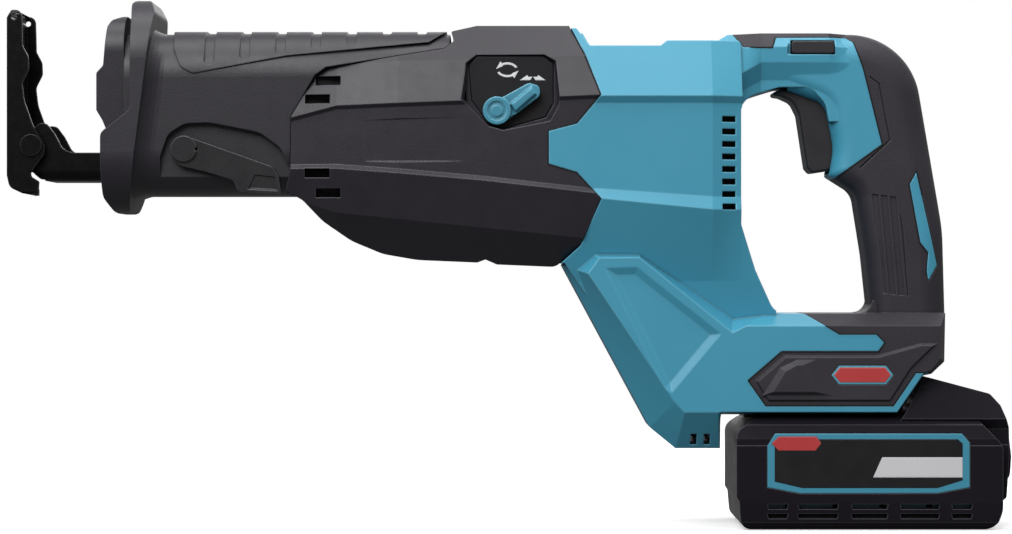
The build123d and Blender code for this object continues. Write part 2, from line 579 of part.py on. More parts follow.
def housing():
    side = both_ways(BARREL_SIDE, THROUGH)
    root = HANDLE_HALF_WIDTH - 3.0
    flare = block(-2.2, 6.0, -root, root, 93.0, 100.4) - rod_y(-2.2, 100.6, -THROUGH, THROUGH, 5.8)
    outer = (barrel() & side) + arm() + foot() - hand_hole() + grip() + flare
    outer -= mirrored_pair(panel(inset(STRUT_HOLLOW, -0.4), inset(STRUT_HOLLOW, 3.4),
                                 FOOT_HALF_WIDTH + 0.2, FOOT_HALF_WIDTH - STRUT_HOLLOW_DEPTH))
    outer -= cover_notch(SEAM)
    skin_zone = both_ways(SKIN_OUTLINE, THROUGH)
    skin_gap = both_ways(inset(SKIN_OUTLINE, -0.15), THROUGH)
    # body under the elastomer skin
    loop_core = arm(SKIN) + grip(SKIN) - both_ways(inset(HAND_HOLE, -SKIN), THROUGH)
    core = loop_core + foot_core(SKIN)
    skin = (outer & skin_zone) - core
    accent_gap = slab(inset(ACCENT, -0.15), -THROUGH, THROUGH)
    accent = slab(inset(ACCENT, 0.15), -THROUGH, THROUGH) & outer
    skin -= accent_gap
    shell = (outer - skin_gap) + (core & outer) + accent
    # cavities: barrel, strut and foot, handle
    wall = HOUSING_WALL
    hollow = barrel(wall) & both_ways(
        [(-200, 218.0), (-131, 218.0), (-124.6, 210.0), (-58.5, 210.0), (-58.5, 133.0),
         (-52.5, 113.0), (-50.0, 106.0), (-66.0, 96.0), (-98.0, 66.0), (-131.0, 121.0),
         (-200, 121.0)], THROUGH)
    inner_base = inset(PAD_BASE, wall + 0.4)
    foot_floor = block(-62.0, 60.0, -THROUGH, THROUGH, 0, TONGUE_TOP + 3.5)
    hollow += (both_ways(inner_base, STRUT_HALF_WIDTH - 2 - wall)
               + both_ways(inset(PAD_TOP, wall), FOOT_HALF_WIDTH - wall - 0.6)) - foot_floor
    hollow += arm(SKIN + wall) & block(-62, 10, -THROUGH, THROUGH, 199.5, 300)
    hollow += grip(SKIN + wall)
    shell -= hollow
    # spigot that enters the gear covers
    spigot = (cover_body(HOUSING_WALL + 0.25) - cover_body(2 * HOUSING_WALL)) & block(
        -150, BARREL_REAR_X, -THROUGH, THROUGH, 0, 300)
    spigot &= cover_notch(4.0)
    spigot -= slab(inset(SELECTOR_RIM, -3.0), -THROUGH, -20)
    shell += spigot
    # battery rails, open to the rear
    rail = TONGUE_HALF_WIDTH + SLIDE_GAP
    neck = TONGUE_NECK_HALF + SLIDE_GAP
    shell -= block(-56, 60, -rail, rail, RAIL_TOP - SLIDE_GAP, TONGUE_TOP + SLIDE_GAP)
    shell -= block(-56, 60, -neck, neck, 40, RAIL_TOP)
    shell -= block(-55.0, -42.0, -17.0, 17.0, TONGUE_TOP - 1, TONGUE_TOP + 3.5)
    # lanyard slots through the hook, and the grooves below them
    for x in (-76.6, -70.7):
        shell -= block(x - 1.35, x + 1.35, -THROUGH, THROUGH, 36.8, 41.6)
    # motor exhaust slots in the rear of the barrel
    for i in range(8):
        z = 141.8 + 5.5 * i
        shell -= window(-64.6, -58.6, z - 1.3, z + 1.3, 22)
    # trigger slot, lock-off passage
    slot = TRIGGER_HALF_WIDTH + SLIDE_GAP
    swept = inset(TRIGGER, -SLIDE_GAP)
    shell -= both_ways(swept, slot) + Pos(TRIGGER_TRAVEL, 0, 0) * both_ways(swept, slot) + block(
        -22, 4, -slot, slot, 159, 191)
    shell -= block(-33.2, -13.4, -THROUGH, THROUGH, 209.7, 216.0)
    shell -= mirrored_pair(panel(inset(BUTTON_RIM, 0), inset(BUTTON_RIM, 1.6),
                                 ARM_HALF_WIDTH + 2, ARM_HALF_WIDTH - 1.4))
    # screw towers
    screws = []
    towers = [rod_y(x, z, -THROUGH, THROUGH, BOSS_R) for x, z, _ in HOUSING_SCREWS]
    shell += ((Part() + towers) & outer) - skin
    for x, z, seat in HOUSING_SCREWS:
        shell -= rod_y(x, z, -seat + 5, seat + 0.1, SCREW_R)
        shell -= rod_y(x, z, seat, THROUGH, SCREW_HEAD_R + 0.3)
        skin -= rod_y(x, z, seat, THROUGH, SCREW_HEAD_R + 0.3)
        screw = rod_y(x, z, -seat + 5, seat + 0.1, SCREW_R) + rod_y(x, z, seat, seat + 2.6,
                                                                   SCREW_HEAD_R)
        screw -= extrude(Plane(origin=(x, seat + 2.6, z), z_dir=(0, 1, 0)) * RegularPolygon(1.9, 6),
                         amount=-1.6)
        screws.append(screw)
    left, right = halves(shell)
    nodes["left_housing"], nodes["right_housing"] = left, right
    # raised faceted panel and ribs on the elastomer
    foot_panel = [(-50.6, 65.3), (-37.2, 76.8), (3.5, 76.8), (22.5, 82.0), (31.0, 82.0),
                  (19.0, 70.4), (9.6, 55.8), (-44.6, 55.8)]
    skin += mirrored_pair(panel(foot_panel, inset(foot_panel, 1.3), FOOT_HALF_WIDTH - 0.5,
                                FOOT_HALF_WIDTH + 1.2)) & both_ways(PAD_TOP, THROUGH)
    skin += mirrored_pair(panel(FOOT_FACET, FOOT_FACET_TOP, FOOT_HALF_WIDTH + 0.9,
                                FOOT_HALF_WIDTH + 2.8))
    skin -= mirrored_pair(slab(HEXAGON, FOOT_HALF_WIDTH + 0.7, THROUGH))
    # ribbed finger panel and border groove of the grip
    skin -= mirrored_pair(slab(GRIP_PANEL, HANDLE_HALF_WIDTH - 0.6, THROUGH) - grip_ribs())
    for i in range(1, len(GRIP_GROOVE)):
        (x0, z0), (x1, z1) = GRIP_GROOVE[i - 1], GRIP_GROOVE[i]
        length = hypot(x1 - x0, z1 - z0)
        ex, ez = 0.35 * (x1 - x0) / length, 0.35 * (z1 - z0) / length
        skin -= mirrored_pair(slab([(x0 - ex - ez, z0 - ez + ex), (x1 + ex - ez, z1 + ez + ex),
                                    (x1 + ex + ez, z1 + ez - ex), (x0 - ex + ez, z0 - ez - ex)],
                                   HANDLE_HALF_WIDTH - 0.6, THROUGH))
    left, right = halves(skin)
    nodes["left_overmould"], nodes["right_overmould"] = left, right
    nodes["housing_screws"] = Compound(children=screws)


TRIGGER = [
    (-42.7, 192.4), (-36.4, 194.8), (-23.8, 194.6), (-16.8, 189.0), (-12.9, 176.0),
    (-12.3, 168.0), (-13.9, 158.6), (-23.0, 157.2), (-25.0, 159.6), (-28.6, 183.4),
    (-31.4, 189.0), (-36.6, 191.4),
]
BUTTON_RIM = [(-35.7, 208.6), (-35.7, 217.0), (-10.4, 217.0), (-10.4, 208.6)]


# ---------------------------------------------------------------- gear case and mechanism
def case_underside(lift=0.0):
    """Space below the front of the case, where the covers sweep up to the boot."""
    line = [(-252.4, 147.2), (-249.0, 144.9), (-240.5, 138.5), (-228.0, 129.9), (-214.0, 124.2)]
    return both_ways([(-252.4, 90.0)] + [(x, z + lift) for x, z in line] + [(-214.0, 90.0)], THROUGH)


def gear_case():
    snug = BOOT_WALL + 0.15
    nose = boot_tube(CASE_FRONT_X, CASE_STEP_X, snug)
    rear_face = rounded_section(CASE_STEP_X, CASE_HALF_WIDTH, CASE_BOTTOM, CASE_TOP, 14.5)
    rear = extrude(rear_face, amount=CASE_REAR_X - CASE_STEP_X, dir=(1, 0, 0))
    rear = (rear & cover_body(HOUSING_WALL + 0.3)) - case_underside()
    outer = nose + rear
    step_wall = 2.4
    nose_hollow = boot_tube(CASE_FRONT_X + CAST_WALL, CASE_STEP_X + step_wall + 1, snug + CAST_WALL)
    rear_hollow = extrude(
        rounded_section(CASE_STEP_X + step_wall, CASE_HALF_WIDTH - CAST_WALL,
                        CASE_BOTTOM + CAST_WALL, CASE_TOP - CAST_WALL, 11.5),
        amount=CASE_REAR_X - CASE_STEP_X - CAST_WALL - step_wall, dir=(1, 0, 0))
    rear_hollow = (rear_hollow & cover_body(HOUSING_WALL + CAST_WALL + 0.3)) - case_underside(CAST_WALL)
    case = outer - nose_hollow - rear_hollow
    # front opening for the swinging plunger, and the slot for the shoe bracket
    case -= rod_x(CASE_FRONT_X - 5, CASE_FRONT_X + 10, 0, PLUNGER_Z, CLAMP_R + SWING_ROOM)
    case -= block(CASE_FRONT_X - 5, BRACKET_REAR_X + SHOE_IN + 1, -BRACKET_HALF_WIDTH - SLIDE_GAP,
                  BRACKET_HALF_WIDTH + SLIDE_GAP, BRACKET_BOTTOM - 0.6, BRACKET_TOP + 1.3)
    # bearing bosses
    case += rod_x(CASE_REAR_X - CAST_WALL - 5, CASE_REAR_X, 0, MOTOR_Z, 14.0)
    case -= rod_x(CASE_REAR_X - 20, CASE_REAR_X + 5, 0, MOTOR_Z, 11.0)
    case += rod_y(CRANK_X, MOTOR_Z, 19.0, CASE_HALF_WIDTH - 1, 15.0)
    case -= rod_y(CRANK_X, MOTOR_Z, 18.0, CASE_HALF_WIDTH - CAST_WALL + 1.5, 11.0)
    # bores for the blade lever and the selector shaft
    case -= rod_y(BLADE_LEVER_X, BLADE_LEVER_Z, -THROUGH, -10, 4.0 + RUN)
    # cradle ears for the guide sleeve's pivots
    for side in (-1, 1):
        case += block(PIVOT_X - PIVOT_BOSS, PIVOT_X + PIVOT_BOSS, side * 17.0, side * (CASE_HALF_WIDTH - 1.6),
                      PLUNGER_Z - 8, PLUNGER_Z + 8)
    case -= rod_y(PIVOT_X, PLUNGER_Z, -23.0, 23.0, 3.5 + RUN)
    nodes["gear_case"] = case


def guide_sleeve():
    sleeve = rod_x(GUIDE_FRONT_X, GUIDE_REAR_X, 0, PLUNGER_Z, 12.6)
    sleeve += rod_x(GUIDE_REAR_X - 4, PIVOT_X + PIVOT_BOSS, 0, PLUNGER_Z, 14.0)
    sleeve += rod_x(GUIDE_FRONT_X, GUIDE_FRONT_X + 4, 0, PLUNGER_Z, 14.0)
    sleeve += rod_y(PIVOT_X, PLUNGER_Z, -22.4, 22.4, 3.5)
    sleeve += rod_y(PIVOT_X, PLUNGER_Z, -16.4, 16.4, 6.0)
    bush_r = PLUNGER_R + 2.0
    sleeve -= rod_x(GUIDE_FRONT_X - 5, PIVOT_X + 12, 0, PLUNGER_Z, bush_r)
    nodes["guide_sleeve"] = sleeve
    bushes = []
    for x0, x1 in ((GUIDE_FRONT_X, GUIDE_FRONT_X + 14), (PIVOT_X - PIVOT_BOSS, PIVOT_X + PIVOT_BOSS)):
        ring = rod_x(x0, x1, 0, PLUNGER_Z, bush_r) - rod_x(x0 - 1, x1 + 1, 0, PLUNGER_Z,
                                                          PLUNGER_R + RUN)
        bushes.append(ring)
    nodes["guide_bushes"] = Compound(children=bushes)


def plunger():
    bar = rod_x(PLUNGER_FRONT_X, PLUNGER_REAR_X - 8, 0, PLUNGER_Z, PLUNGER_R)
    # cross-head that carries the yoke past the crank gear
    head_front = PLUNGER_REAR_X - HEAD_THICK
    head = block(head_front, PLUNGER_REAR_X, YOKE_Y - YOKE_THICK, 9.0,
                 PLUNGER_Z - 9.0, PLUNGER_Z + YOKE_ABOVE)
    head += block(head_front, PLUNGER_REAR_X, -9.0, 9.0, PLUNGER_Z, PLUNGER_Z + HEAD_ABOVE)
    bar += head
    slot_x = CRANK_X + STROKE / 2
    slot_half = STROKE / 2 + CRANK_PIN_R + 1.0
    yoke = [(head_front, PLUNGER_Z - 9), (head_front, PLUNGER_Z + YOKE_ABOVE),
            (slot_x + 9, PLUNGER_Z + YOKE_ABOVE), (slot_x + 9, MOTOR_Z - slot_half - 5),
            (slot_x - 9, MOTOR_Z - slot_half - 5), (slot_x - 9, PLUNGER_Z - 9)]
    plate = slab(yoke, YOKE_Y - YOKE_THICK, YOKE_Y, [2, 2, 4, 4, 4, 3])
    half_slot = CRANK_PIN_R + RUN
    plate -= slab([(slot_x - half_slot, MOTOR_Z - slot_half), (slot_x + half_slot, MOTOR_Z - slot_half),
                   (slot_x + half_slot, MOTOR_Z + slot_half), (slot_x - half_slot, MOTOR_Z + slot_half)],
                  YOKE_Y - YOKE_THICK - 1, YOKE_Y + 1, [4, 4, 4, 4])
    bar += plate
    # blade slot and the cross hole of its holding pin
    depth = 16.0
    bar -= block(PLUNGER_FRONT_X - 1, PLUNGER_FRONT_X + depth, -BLADE_SLOT / 2, BLADE_SLOT / 2,
                 PLUNGER_Z - BLADE_SHANK / 2, PLUNGER_Z + BLADE_SHANK / 2)
    bar -= rod_y(PLUNGER_FRONT_X + 8, PLUNGER_Z, -12, 0, 2.0)
    nodes["plunger"] = bar
    pin = rod_y(PLUNGER_FRONT_X + 8, PLUNGER_Z, -PLUNGER_R - 0.6, -BLADE_SLOT / 2, 2.0)
    nodes["clamp_pin"] = pin
    clamp = rod_x(PLUNGER_FRONT_X - 4, PLUNGER_FRONT_X + CLAMP_LENGTH - 8, 0, PLUNGER_Z, CLAMP_R - 1)
    for i in range(10):
        angle = radians(36 * i)
        clamp += rod_x(PLUNGER_FRONT_X - 3, PLUNGER_FRONT_X + CLAMP_LENGTH - 9,
                       (CLAMP_R - 2) * sin(angle), PLUNGER_Z + (CLAMP_R - 2) * cos(angle), 1.9)
    clamp -= rod_x(PLUNGER_FRONT_X - 2, PLUNGER_FRONT_X + CLAMP_LENGTH, 0, PLUNGER_Z, PLUNGER_R + RUN)
    clamp -= rod_x(PLUNGER_FRONT_X - 5, PLUNGER_FRONT_X, 0, PLUNGER_Z, PLUNGER_R - 1.0)
    clamp -= rod_x(PLUNGER_FRONT_X + 5, PLUNGER_FRONT_X + 11, 0, PLUNGER_Z, PLUNGER_R + 0.9)
    nodes["clamp_sleeve"] = clamp


def bevel_blank(pitch_angle, cone, addendum, dedendum, width, teeth, share):
    """Bevel gear about +Z with its apex at the origin and its teeth on the outside."""
    def ring(distance, offset_from_pitch):
        radius = distance * sin(pitch_angle) + offset_from_pitch * cos(pitch_angle)
        height = distance * cos(pitch_angle) - offset_from_pitch * sin(pitch_angle)
        return radius, height

    inner = (cone - width) / cone
    r1, h1 = ring(cone, -dedendum)
    r2, h2 = ring(cone - width, -dedendum * inner)
    root = [(0.1, h1), (r1, h1), (r2, h2), (0.1, h2)]
    blank = revolve(make_face(Polyline(*[(r, 0, h) for r, h in root], close=True)), Axis.Z)
    pitch = 2 * pi / teeth

    def tooth_face(distance, scale, angle):
        corners = []
        for off, part in ((-dedendum * 1.02, 0.62), (0, 0.46), (addendum, 0.24)):
            radius, height = ring(distance, off * scale)
            half = share * part * pitch * distance * sin(pitch_angle) / 2
            corners.append((radius, half, height))
        points = [(r, -w, h) for r, w, h in corners] + [(r, w, h) for r, w, h in reversed(corners)]
        return make_face(Polyline(*points, close=True)).rotate(Axis.Z, angle)

    for i in range(teeth):
        angle = 360.0 * i / teeth
        blank += loft([tooth_face(cone, 1.0, angle), tooth_face(cone - width, inner, angle)], ruled=True)
    return blank


def gear_train():
    cone = GEAR_MODULE / 2 * hypot(GEAR_TEETH, PINION_TEETH)
    gear_angle = atan2(GEAR_TEETH, PINION_TEETH)
    addendum, dedendum = 0.75 * GEAR_MODULE, 1.1 * GEAR_MODULE
    teeth = bevel_blank(gear_angle, cone, addendum, dedendum, FACE_WIDTH, GEAR_TEETH, 0.92)
    # gear axis along Y, half a tooth off the pinion's line, its back towards -Y
    teeth = teeth.rotate(Axis.Z, 180.0 / GEAR_TEETH)
    teeth = Pos(CRANK_X, 0, MOTOR_Z) * Rot(90, 0, 0) * teeth
    disc = rod_y(CRANK_X, MOTOR_Z, -15.0, -9.6, GEAR_MODULE * GEAR_TEETH / 2 - 0.8)
    gear = teeth + disc
    gear += rod_y(CRANK_X, MOTOR_Z, -14.0, 22.4, 5.0)
    gear += rod_y(CRANK_X, MOTOR_Z, -10.0, -2.0, 12.0)
    eccentric = rod_y(CRANK_X - COUNTERWEIGHT_THROW, MOTOR_Z, 9.9, 12.6, 13.6)
    gear += eccentric
    gear += rod_y(CRANK_X, MOTOR_Z, 9.9, 12.6, 8.0)
    for i in range(5):
        angle = radians(72 * i + 36)
        gear -= rod_y(CRANK_X + 18.0 * sin(angle), MOTOR_Z + 18.0 * cos(angle), -16, -8.5, 3.6) \
            if abs(cos(angle)) > 0.2 and sin(angle) < 0.7 else rod_y(CRANK_X - 100, 0, 0, 1, 1)
    gear -= rod_y(CRANK_X + STROKE / 2, MOTOR_Z, -16, -11, CRANK_PIN_R)
    nodes["crank_gear"] = gear
    nodes["crank_pin"] = rod_y(CRANK_X + STROKE / 2, MOTOR_Z, YOKE_Y + 0.3, -11, CRANK_PIN_R)
    pinion_angle = atan2(PINION_TEETH, GEAR_TEETH)
    pinion = bevel_blank(pinion_angle, cone, addendum, dedendum, FACE_WIDTH, PINION_TEETH, 0.92)
    pinion = pinion.rotate(Axis.Z, PINION_PHASE)
    pinion = Pos(CRANK_X, 0, MOTOR_Z) * Rot(0, 90, 0) * pinion
    shaft_front = CRANK_X + cone * cos(pinion_angle) - 0.5
    shaft = pinion + rod_x(shaft_front, -70.0, 0, MOTOR_Z, 4.0)
    nodes["rotor_shaft"] = shaft
    # armature, fan and bearings
    core = rod_x(-122.0, -84.0, 0, MOTOR_Z, 16.5) - rod_x(-123.0, -83.0, 0, MOTOR_Z, 4.0)
    nodes["rotor_core"] = core
    hub = rod_x(-143.0, -134.0, 0, MOTOR_Z, 8.0) + rod_x(-135.5, -134.0, 0, MOTOR_Z, 27.0)
    for i in range(12):
        blade = block(-143.0, -135.0, -0.8, 0.8, MOTOR_Z + 12.0, MOTOR_Z + 26.5)
        hub += blade.rotate(Axis((0, 0, MOTOR_Z), (1, 0, 0)), 30.0 * i)
    hub -= rod_x(-150, -130, 0, MOTOR_Z, 4.0)
    nodes["cooling_fan"] = hub
    stator = rod_x(-124.0, -82.0, 0, MOTOR_Z, 29.0) - rod_x(-125.0, -81.0, 0, MOTOR_Z, 17.2)
    for i in range(6):
        slot_cut = Pos(0, 0, MOTOR_Z) * Pos(-103.0, 0, 22.4) * Box(60, 9.0, 6.4)
        stator -= slot_cut.rotate(Axis((0, 0, MOTOR_Z), (1, 0, 0)), 60.0 * i)
    # mounting flats that seat the stator in the housing
    for side in (-1, 1):
        stator += block(-122.0, -84.0, side * 26.0, side * 34.4, MOTOR_Z - 8.0, MOTOR_Z + 8.0)
    nodes["stator"] = stator
    nodes["front_bearing"] = (rod_x(CASE_REAR_X - 6.0, CASE_REAR_X, 0, MOTOR_Z, 11.0)
                              - rod_x(CASE_REAR_X - 8.0, CASE_REAR_X + 1, 0, MOTOR_Z, 4.0 + RUN))
    nodes["rear_bearing"] = (rod_x(-77.0, -71.0, 0, MOTOR_Z, 9.5)
                             - rod_x(-78.0, -70.0, 0, MOTOR_Z, 4.0 + RUN))
    nodes["crank_bearing"] = (rod_y(CRANK_X, MOTOR_Z, 19.0, CASE_HALF_WIDTH - CAST_WALL + 1.5, 11.0)
                              - rod_y(CRANK_X, MOTOR_Z, 18.0, 26.5, 5.0 + RUN))
    # counterweight that runs opposite to the plunger
    throw = COUNTERWEIGHT_THROW
    cx = CRANK_X - throw
    weight = slab([(-249.0, 150.0), (-249.0, 178.0), (-231.0, 178.0), (cx - 19, 181.0),
                   (cx + 19, 181.0), (cx + 19, 155.0), (cx - 19, 155.0), (-231.0, 150.0)],
                  13.2, 16.8, [3, 3, 0, 6, 6, 6, 6, 0])
    half_slot = 2 * throw + 6.0
    weight -= slab([(cx - half_slot + 7, 161.5), (cx + half_slot - 7, 161.5), (cx + half_slot - 7, 174.5),
                    (cx - half_slot + 7, 174.5)], 10, 20, [3, 3, 3, 3])
    weight += block(-249.0, -231.0, 4.0, 13.4, 151.0, 177.0)
    nodes["counterweight"] = weight


# ---------------------------------------------------------------- shoe and bracket
SHOE_SIDE = [
    (-380.8, 226.0), (-378.8, 229.4), (-374.2, 229.4), (-373.8, 213.4), (-371.2, 208.6),
    (-371.0, 203.0), (-374.0, 197.0), (-373.1, 189.1), (-369.1, 178.0), (-363.8, 169.0),
    (-364.2, 165.0), (-371.0, 156.0), (-366.4, 153.2), (-366.9, 146.6), (-374.0, 148.0),
    (-379.6, 150.6), (-380.8, 156.0),
]


def shoe():
    hw = SHOE_HALF_WIDTH
    face = slab(SHOE_SIDE, -hw, hw, [2, 1, 3, 3, 4, 4, 4, 20, 6, 3, 3, 2, 1, 1, 4, 4, 2])
    keep = (block(-390, -380.8 + 2.6, -hw, hw, 140, 235)
            + block(-390, -350, hw - SHOE_SHEET, hw, 158.5, 235)
            + block(-390, -350, -hw, -hw + SHOE_SHEET, 140, 235)
            + block(-390, -372.6, -hw, hw, 140, 151.0))
    body = face & keep
    # rounded corners of the front plate and its blade window
    front = extrude(Plane(origin=(-385, 0, 188), x_dir=(0, 1, 0), z_dir=(1, 0, 0))
                    * RectangleRounded(2 * hw, 84, 3), amount=30)
    body &= front
    # relief holes at the ends of the wings' bends
    body -= rod_y(-377.6, 226.2, -THROUGH, THROUGH, 1.2)
    opening = extrude(Plane(origin=(-385, 0, 194.5), x_dir=(0, 1, 0), z_dir=(1, 0, 0))
                      * RectangleRounded(13.0, 47, 6), amount=12)
    body -= opening
    body -= rod_y(SHOE_PIN_X, SHOE_PIN_Z, -THROUGH, THROUGH, SHOE_PIN_R + RUN)
    nodes["shoe"] = body


def shoe_bracket():
    side = [(-366.9, 179.4), (-363.8, 179.2), (-360.2, 174.5), (-356.6, 167.6), (-352.0, BRACKET_TOP),
            (BRACKET_REAR_X, BRACKET_TOP), (BRACKET_REAR_X, BRACKET_BOTTOM), (-366.0, BRACKET_BOTTOM),
            (-375.4, 163.0), (-376.4, 170.0)]
    outer = slab(side, -BRACKET_HALF_WIDTH, BRACKET_HALF_WIDTH, [2, 3, 8, 5, 8, 2, 2, 8, 5, 6])
    rounding = extrude(rounded_section(-390, BRACKET_HALF_WIDTH, BRACKET_BOTTOM, 200.0, 5.0), amount=130,
                       dir=(1, 0, 0))
    outer &= rounding
    inner = block(-366.0, BRACKET_REAR_X + 1, -BRACKET_HALF_WIDTH + BRACKET_SHEET,
                  BRACKET_HALF_WIDTH - BRACKET_SHEET, BRACKET_BOTTOM + BRACKET_SHEET, 200)
    inner += block(-385, -365.0, -BRACKET_HALF_WIDTH + BRACKET_SHEET,
                   BRACKET_HALF_WIDTH - BRACKET_SHEET, 140, 200)
    outer -= inner
    outer -= rod_y(SHOE_PIN_X, SHOE_PIN_Z, -THROUGH, THROUGH, SHOE_PIN_R)
    # detent notches along the floor
    for i in range(5):
        outer -= block(-318.0 + 6.0 * i, -315.0 + 6.0 * i, -5, 5, 150, 160)
    nodes["shoe_bracket"] = outer
    pin = rod_y(SHOE_PIN_X, SHOE_PIN_Z, -SHOE_HALF_WIDTH - 0.9, SHOE_HALF_WIDTH + 0.9, SHOE_PIN_R)
    for side_sign in (-1, 1):
        pin += rod_y(SHOE_PIN_X, SHOE_PIN_Z, side_sign * (SHOE_HALF_WIDTH + 0.15),
                     side_sign * (SHOE_HALF_WIDTH + 1.2), SHOE_PIN_R + 0.9)
    nodes["shoe_pin"] = pin


NOSE_SIDE = [
    (CASE_FRONT_X, NOSE_TOP + 0.6), (-334.2, 224.8), (-335.8, 221.6), (-337.2, 204.2),
    (-340.2, 201.0), (-340.2, 184.5), (-337.6, 180.2), (-335.0, 174.0), (-335.0, 150.0),
    (CASE_FRONT_X, 150.0),
]


def nose_plate():
    plate = both_ways(NOSE_SIDE, THROUGH, [0, 3, 3, 2, 2, 2, 2, 3, 1, 0]) & nose_outline()
    plate -= rod_x(-360, -320, 0, PLUNGER_Z, CLAMP_R + 3.5)
    plate -= rod_x(-337.0, -320, 0, PLUNGER_Z, CLAMP_R + 4.4)
    slot = BRACKET_HALF_WIDTH + 1.2
    plate -= block(-345, -320, -slot, slot, NOSE_BOTTOM - 1, BRACKET_TOP + 2.0)
    nodes["nose_plate"] = plate


# ---------------------------------------------------------------- controls
def controls():
    # blade change lever on the left of the boot
    lx, lz = BLADE_LEVER_X, BLADE_LEVER_Z
    y_out = -LEVER_POCKET_FLOOR - 0.3
    arm_side = [(lx - 5.4, lz + 2.0), (lx - 1.0, lz + 6.2), (lx + 4.0, lz + 4.6), (-262.6, 159.6),
                (-259.6, 155.0), (-258.6, 147.4), (-277.6, 148.6), (-279.6, 153.6),
                (-292.0, 157.4), (lx - 1.6, lz - 7.4), (lx - 5.6, lz - 3.0)]
    lever = slab(arm_side, y_out - BLADE_LEVER_THICK, y_out, [4, 4, 3, 3, 2, 1, 2, 3, 0, 4, 4])
    lever += rod_y(lx, lz, y_out - BLADE_LEVER_THICK - 1.4, y_out, 5.7)
    lever -= rod_y(lx, lz, y_out - BLADE_LEVER_THICK, -10, 4.0)
    lever -= rod_y(lx + 5.6, lz - 0.2, y_out - BLADE_LEVER_THICK - 2, y_out - 2.2, 0.7)
    tip = [(-270.0, 155.6), (-261.4, 154.6), (-260.6, 149.4), (-272.6, 150.0)]
    lever -= panel(inset(tip, -0.6), tip, y_out - BLADE_LEVER_THICK - 0.2,
                   y_out - BLADE_LEVER_THICK + 0.8)
    nodes["blade_lever"] = lever
    shaft = rod_y(lx, lz, y_out - BLADE_LEVER_THICK, -18.4, 4.0)
    shaft += slab([(lx - 3.6, lz), (lx + 3.6, lz), (lx + 2.4, 181.0), (lx - 2.4, 181.0)], -21.8, -18.6,
                  [1, 1, 2, 2])
    nodes["lever_shaft"] = shaft
    # orbital selector
    sx, sz = SELECTOR_X, SELECTOR_Z
    floor_y = -(COVER_BAND_HALF - SELECTOR_POCKET_DEPTH) - 0.8
    blade = [(sx - 6.0, sz - 2.6), (sx - 4.6, sz + 4.8), (sx + 3.4, sz + 6.4), (-149.4, 196.4),
             (-144.8, 194.8), (-144.4, 190.6), (sx + 6.4, sz - 3.0), (sx + 1.0, sz - 6.6)]
    lever = slab(blade, floor_y - 5.4, floor_y - 0.3, [4, 4, 3, 3, 2, 3, 4, 4])
    lever += rod_y(sx, sz, floor_y - 7.0, floor_y - 0.3, 6.2)
    lever -= rod_y(sx, sz, floor_y - 5.0, floor_y, 4.0)
    lever -= rod_y(sx, sz, floor_y - 8.0, floor_y - 6.2, 4.2) - rod_y(sx, sz, -THROUGH, 0, 2.6)
    ridge = [(sx + 6.5, sz + 2.8), (-148.4, 193.8), (-146.8, 191.4), (sx + 8.2, sz)]
    lever += panel(inset(ridge, -0.8), ridge, floor_y - 5.3, floor_y - 7.2)
    nodes["selector_lever"] = lever
    shaft = rod_y(sx, sz, floor_y - 5.0, -CASE_HALF_WIDTH - 0.2, 4.0)
    nodes["selector_shaft"] = shaft
    # trigger with its guide stem
    trigger = both_ways(TRIGGER, TRIGGER_HALF_WIDTH, TRIGGER_ROUNDS)
    trigger = fillet(trigger.edges().filter_by(
        lambda e: abs(abs(e.center().Y) - TRIGGER_HALF_WIDTH) < 0.01), 1.2)
    trigger += block(-20, 3.0, -TRIGGER_HALF_WIDTH + 3, TRIGGER_HALF_WIDTH - 3, 161, 187) & block(
        -18, -4.5, -20, 20, 150, 190)
    nodes["trigger"] = trigger
    nodes["switch_body"] = block(2.6, 17.4, -11.4, 11.4, 158.0, 189.0) + block(
        6.0, 16.0, -8.0, 8.0, 150.0, 158.5)
    # lock-off button, a cross bar that stands proud on the left
    wide = ARM_HALF_WIDTH - 0.6
    button = both_ways([(-32.8, 210.1), (-13.8, 210.1), (-13.8, 215.6), (-32.8, 215.6)],
                       wide, [1.2, 1.2, 1.2, 1.2])
    button = Pos(0, -BUTTON_TRAVEL / 2 + 1.2, 0) * button
    nodes["lock_off_button"] = button


TRIGGER_ROUNDS = [1, 6, 8, 5, 6, 6, 3, 2, 2, 6, 5, 2]


